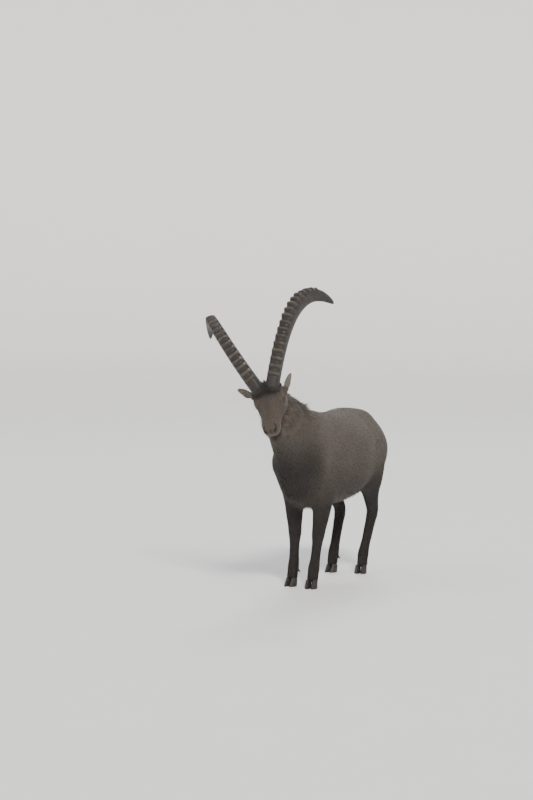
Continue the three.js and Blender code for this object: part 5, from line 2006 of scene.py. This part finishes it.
@dataclass
class Mane:
    """The long hair: nape, beard, forelock, throat, brisket, belly, thighs, tail and fetlocks."""

    stance: Stance
    hide: Hide
    nape: LongHair = LongHair("nape", 6.2, (46.0, 78.0), 3.6, 1.5, 17.0, (0.0, -1.0, -0.42))
    beard: LongHair = LongHair("beard", 2.5, (40.0, 66.0), 2.0, 0.9, 20.0, (0.0, 0.04, -1.0), 0.2, 0.12)
    forelock: LongHair = LongHair("forelock", 4.0, (18.0, 34.0), 2.3, 0.9, 11.0, (0.0, 0.1, 0.4), 0.5)
    throat: LongHair = LongHair("throat", 6.2, (30.0, 48.0), 3.3, 1.3, 10.0, (0.0, -0.5, -1.0))
    brisket: LongHair = LongHair("brisket", 6.2, (34.0, 56.0), 3.4, 1.4, 9.0, (0.0, -0.35, -1.0))
    belly: LongHair = LongHair("belly", 8.5, (26.0, 42.0), 3.6, 1.4, 8.0, (0.0, -0.6, -1.0))
    thigh: LongHair = LongHair("thigh", 8.0, (30.0, 46.0), 3.4, 1.3, 7.0, (0.0, -0.25, -1.0))
    tail: LongHair = LongHair("tail", 4.2, (38.0, 60.0), 3.0, 1.2, 11.0, (0.0, -0.2, -1.0), 0.3)
    fetlock: LongHair = LongHair("fetlock", 3.2, (12.0, 19.0), 1.9, 0.7, 3.0, (0.0, -0.1, -1.0), 0.2, 1.0, 3)
    ear: LongHair = LongHair("ear", 3.4, (10.0, 16.0), 1.2, 0.5, 3.5, (0.0, 0.0, 0.0), 0.25, 1.0, 3)
    least: float = 0.08
    seed: int = 77

    def growths(self) -> list[tuple[LongHair, Array]]:
        """Says where the long hair grows.

        Returns:
            Each growth with its strength on each of the skin's points, from 0 to 1.
        """
        skin, points, normals = self.hide.skin, self.hide.points, self.hide.normals
        b, q = self.stance.body(points), self.stance.head(points)
        ears = skin.share(Region.EAR)
        head = skin.head_share(points) * (1 - ears) * (ears < 0.1)
        body = (1 - skin.head_share(points)) * (ears < 0.1)
        open_ear = ears * skin.ear_inside(points, normals) * (ears > 0.7)
        top = ramp(normals[:, 2], 0.25, 0.7)
        low = ramp(normals[:, 2], -0.2, -0.6)
        crest = top * ramp(b[:, 1], 70.0, 150.0) * ramp(b[:, 2], 860.0, 905.0)
        crest = np.maximum(crest * body, head * ramp(q[:, 1], -60.0, -84.0) * ramp(q[:, 2], 10.0, 34.0))
        chin = head * ramp(q[:, 1], 112.0, 124.0) * ramp(q[:, 1], 178.0, 168.0)
        chin = chin * ramp(q[:, 2], -58.0, -64.0) * ramp(np.abs(q[:, 0]), 25.0, 17.0)
        crown = head * ramp(q[:, 2], 44.0, 54.0) * ramp(q[:, 1], 14.0, -6.0)
        crown = crown * ramp(np.abs(q[:, 0]), 62.0, 44.0)
        neck = body * low * ramp(b[:, 1], 150.0, 210.0) * ramp(np.abs(b[:, 0] - 8.0), 60.0, 30.0)
        front = body * ramp(b[:, 1], 60.0, 110.0) * ramp(b[:, 2], 620.0, 540.0) * ramp(b[:, 2], 400.0, 440.0)
        front = front * ramp(np.abs(b[:, 0]), 100.0, 60.0)
        torso = skin.share(Region.TORSO)
        under = torso * ramp(normals[:, 2], -0.5, -0.9) * ramp(b[:, 2], 520.0, 470.0)
        under = under * ramp(b[:, 1], 90.0, 30.0) * ramp(b[:, 1], -600.0, -500.0)
        flesh = np.maximum(torso, skin.share(Region.HINDLEG))
        behind = flesh * ramp(normals[:, 1], 0.35, 0.75) * ramp(b[:, 1], -620.0, -680.0)
        behind = behind * ramp(b[:, 2], 480.0, 540.0) * ramp(b[:, 2], 760.0, 700.0)
        tail = skin.share(Region.TAIL) * ramp(b[:, 2], 790.0, 740.0)
        legs = skin.share(Region.FORELEG, Region.HINDLEG)
        feet = legs * np.maximum(
            ramp(b[:, 2], 60.0, 52.0), bump(b[:, 2], 96.0, 12.0) * ramp(normals[:, 1], 0.3, 0.8)
        )
        return [
            (self.nape, crest),
            (self.beard, chin),
            (self.forelock, crown),
            (self.throat, neck),
            (self.brisket, front),
            (self.belly, under),
            (self.thigh, behind),
            (self.tail, tail),
            (self.fetlock, feet),
            (self.ear, open_ear * ramp(self.stance.ear_reach(q), 78.0, 62.0)),
        ]

    def build(self, maker: HairMesh, material: Material) -> list[Object]:
        """Makes the long hair.

        Args:
            maker: turns locks into meshes.
            material: their finish.

        Returns:
            The pieces.
        """
        rng = np.random.default_rng(self.seed)
        out = []
        for growth, strength in self.growths():
            spacing = growth.spacing / np.sqrt(np.maximum(strength, self.least))
            grows = (strength > self.least) & (self.hide.skin.bare <= 0.5)
            spacing = np.where(grows, spacing, BARE)
            roots = self.hide.scatter(spacing, rng)
            n = len(roots.place)
            if not n:
                continue
            low, high = growth.length
            length = low + (high - low) * rng.random(n)
            size = {
                "length": length,
                "width": growth.width * (0.75 + 0.5 * rng.random(n)),
                "thick": growth.thick * (0.75 + 0.5 * rng.random(n)),
                "stand": growth.stand * (0.6 + 0.8 * rng.random(n)),
                "stray": np.full(n, growth.stray),
                "hug": np.full(n, growth.hug),
            }
            left, forward, up = growth.fall
            fall = np.array([[left, -forward, up]]) + roots.normal * 0.12
            if growth is self.ear:
                fall = fall + roots.flow
            made = maker.locks(roots, size, fall, rng, growth.rings)
            roots.marking = roots.marking * 0.9
            out += maker.pieces(f"hair_{growth.name}", roots, made, material, rng)
            LOG.info("%s: %d locks", growth.name, n)
        return out


@dataclass
class Bristles:
    """Lashes on the upper lids and whiskers on the lips."""

    stance: Stance
    hide: Hide
    thick: float = 0.22
    whiskers: int = 70
    lashes: int = 60
    seed: int = 12

    def tree(self) -> GeometryTree:
        """Makes the tree that sets a thin drooping cone on each point, along its way attribute.

        Returns:
            The tree.
        """
        tree = GeometryTree(
            "bristles",
            {
                "Thickness": ("Float", 0.0003),
                "Droop": ("Float", 0.004),
                "Seed": ("Int", 5),
                "Finish": ("Material", None),
            },
        )
        start = tree.start.outputs
        cone = tree.add("GeometryNodeMeshCone")
        put(cone, Vertices=4, Side_Segments=5, Radius_Top=0.00003, Depth=1.0)
        tree.link(start["Thickness"], cone.inputs["Radius Bottom"])
        parts = tree.add("ShaderNodeSeparateXYZ", tree.add("GeometryNodeInputPosition").outputs[0])
        hair = tree.store(cone.outputs["Mesh"], "share", parts.outputs[2])
        way = tree.read("way", "FLOAT_VECTOR")
        turn = tree.add("FunctionNodeAlignRotationToVector")
        turn.axis = "Z"
        tree.link(way, turn.inputs["Vector"])
        chance = tree.chance(0.7, 1.2)
        size = tree.add("ShaderNodeCombineXYZ", 1.0, 1.0)
        tree.link(tree.math("MULTIPLY", tree.read("reach"), chance.outputs[1]), size.inputs[2])
        spread = tree.add("GeometryNodeInstanceOnPoints", start["Geometry"])
        tree.link(hair, spread.inputs["Instance"])
        tree.link(turn.outputs[0], spread.inputs["Rotation"])
        tree.link(size.outputs[0], spread.inputs["Scale"])
        real = tree.add("GeometryNodeRealizeInstances", spread.outputs[0])
        bent = tree.math("POWER", tree.read("share"), 2.0)
        drop = tree.add("ShaderNodeCombineXYZ", 0.0, 0.0)
        fall = tree.math("MULTIPLY", tree.math("MULTIPLY", bent, start["Droop"]), -1.0)
        tree.link(fall, drop.inputs[2])
        moved = tree.add("GeometryNodeSetPosition", real.outputs[0])
        tree.link(drop.outputs[0], moved.inputs["Offset"])
        tree.finish(moved.outputs[0])
        return tree

    def build(self, material: Material) -> list[Object]:
        """Makes the lashes and the whiskers.

        Args:
            material: their finish.

        Returns:
            The pieces.
        """
        rng = np.random.default_rng(self.seed)
        skin, points = self.hide.skin, self.hide.points
        q = self.stance.head(points)
        ax = self.stance.axes()
        over, along = skin.lips(q)
        lips = np.flatnonzero((along > 0.9) & (np.abs(over - 4.0) < 7.0) & (q[:, 1] < 196.0))
        lips = rng.choice(lips, min(self.whiskers, len(lips)), replace=False)
        ways = [self.hide.normals[lips] + np.array([0.0, -0.2, 0.0]) @ ax]
        reach = [np.full(len(lips), 0.022)]
        own = [lips]
        for side in (-1, 1):
            rim, height, close = skin.lid(q, side)
            row = np.flatnonzero((close > 0.3) & (np.abs(rim - 1.14) < 0.08) & (height > 1.0))
            row = rng.choice(row, min(self.lashes, len(row)), replace=False)
            out = np.array([side * 0.9, 0.3, 0.35]) @ ax
            ways.append(self.hide.normals[row] + out)
            reach.append(np.full(len(row), 0.0075))
            own.append(row)
        place = points[np.concatenate(own)]
        mesh = bpy.data.meshes.new("bristles")
        mesh.vertices.add(len(place))
        Kit.place(mesh, place)
        obj = Kit.link("bristles", mesh)
        Kit.attribute(mesh, "way", "FLOAT_VECTOR", unit(np.concatenate(ways)))
        Kit.attribute(mesh, "reach", "FLOAT", np.concatenate(reach))
        self.tree().run(obj, Thickness=self.thick / 1000.0, Finish=material)
        LOG.info("bristles: %d", len(place))
        return [obj]


@dataclass(frozen=True)
class Studio:
    """A pale seamless floor, soft light, and the camera at the photograph's angle."""

    stance: Stance
    azimuth: float = 25.0
    elevation: float = 4.0
    distance: float = 12.0
    pixels_per_metre: float = 195.0
    frame_size: tuple[int, int] = (533, 800)
    withers_pixel: tuple[float, float] = (305.0, 411.0)
    flat: float = 20.0
    sweep: float = 9.0

    def build(self) -> None:
        """Makes the floor, the lights and the camera."""
        self.floor()
        self.lights()
        self.camera()

    def floor(self) -> None:
        """Makes a floor that sweeps up all round, far behind the animal."""
        material = PlainFinish("pale_floor", (0.8, 0.79, 0.77), 0.9).build()
        bend = np.linspace(0, np.pi / 2, 14)
        far = np.r_[0.5, 12.0, self.flat + self.sweep * np.sin(bend), self.flat + self.sweep]
        high = np.r_[0.0, 0.0, self.sweep * (1 - np.cos(bend)), self.sweep + 8.0]
        count = 96
        turn = np.arange(count) / count * 2 * np.pi
        circle = np.stack([np.cos(turn), np.sin(turn), np.zeros(count)], 1)
        rings = [circle * r + [0.0, 0.0, h] for r, h in zip(far, high)]
        verts = np.concatenate([*rings, [[0.0, 0.0, 0.0]]])
        faces = Kit.tube(len(far), count)[:-count]
        Kit.make("floor", verts, faces, material)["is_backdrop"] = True

    def lights(self) -> None:
        """Makes a soft key light, a light from behind, and an even pale sky."""
        world = bpy.data.worlds.new("studio")
        bpy.context.scene.world = world
        world.use_nodes = True
        put(world.node_tree.nodes["Background"], Color=(0.9, 0.93, 1.0, 1.0), Strength=0.6)
        for name, way, power, angle, tint in (
            ("key", (-0.55, 0.72, -0.8), 3.0, 12.0, (1.0, 0.97, 0.93)),
            ("fill", (0.85, 0.45, -0.5), 0.9, 40.0, (0.93, 0.96, 1.0)),
            ("back", (0.3, -0.85, -0.75), 1.4, 20.0, (0.96, 0.98, 1.0)),
        ):
            data = bpy.data.lights.new(name, "SUN")
            data.angle = math.radians(angle)
            data.energy = power
            data.color = tint
            obj = Kit.link(name, data)
            obj.rotation_mode = "QUATERNION"
            obj.rotation_quaternion = Vector(way).to_track_quat("-Z", "Y")
            obj.location = Vector(way) * -6.0
            obj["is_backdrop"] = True

    def camera(self) -> None:
        """Makes the camera so that the withers fall where they do in the photograph."""
        a, e = math.radians(self.azimuth), math.radians(self.elevation)
        right = Vector((math.cos(a), math.sin(a), 0))
        back = Vector((math.sin(a) * math.cos(e), -math.cos(a) * math.cos(e), math.sin(e)))
        up = back.cross(right)
        wide, high = self.frame_size
        target = Vector(self.stance.at(0.0, 0.0, self.stance.withers))
        target += right * ((wide / 2 - self.withers_pixel[0]) / self.pixels_per_metre)
        target += up * ((self.withers_pixel[1] - high / 2) / self.pixels_per_metre)
        data = bpy.data.cameras.new("camera")
        data.sensor_fit = "AUTO"
        data.sensor_width = 36.0
        data.lens = 36.0 * self.pixels_per_metre * self.distance / high
        data.clip_end = 200.0
        obj = Kit.link("camera", data)
        obj.location = target + back * self.distance
        obj.rotation_mode = "QUATERNION"
        obj.rotation_quaternion = (-back).to_track_quat("-Z", "Y")
        bpy.context.scene.camera = obj


def corners(bounds: tuple[Vector, Vector]) -> list[list[float]]:
    """A box's two corners as plain lists."""
    return [[round(float(v), 5) for v in corner] for corner in bounds]


def main() -> None:
    """Builds every piece in order."""
    logging.basicConfig(level=logging.INFO, format="%(name)s %(message)s")
    before = corners(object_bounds())
    stance = Stance()
    skin = Skin(stance)
    skin_object = skin.build(SkinFinish().build())
    pieces = [skin_object]
    horn_finish, eye_finish = HornFinish().build(), EyeFinish().build()
    ridges = HornRidges().build()
    for side in (1, -1):
        pieces.append(Horn(stance, side).build(ridges, horn_finish))
        pieces.append(Eye(stance, side).build(eye_finish))
    LOG.info("horns and eyes made")
    pieces += Hooves(stance).build(HoofFinish().build())
    LOG.info("hooves made")
    hide = Hide(skin, skin_object)
    maker = HairMesh(stance)
    hair_finish = HairFinish().build()
    pieces += Coat(stance, hide).build(maker, hair_finish)
    pieces += Mane(stance, hide).build(maker, hair_finish)
    pieces += Bristles(stance, hide).build(HairFinish("bristle", 0.45).build())
    for obj in pieces:
        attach(obj, "root")
    Studio(stance).build()
    after = corners(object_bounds())
    LOG.info("bounds before %s after %s", before, after)


if __name__ == "__main__":
    main()
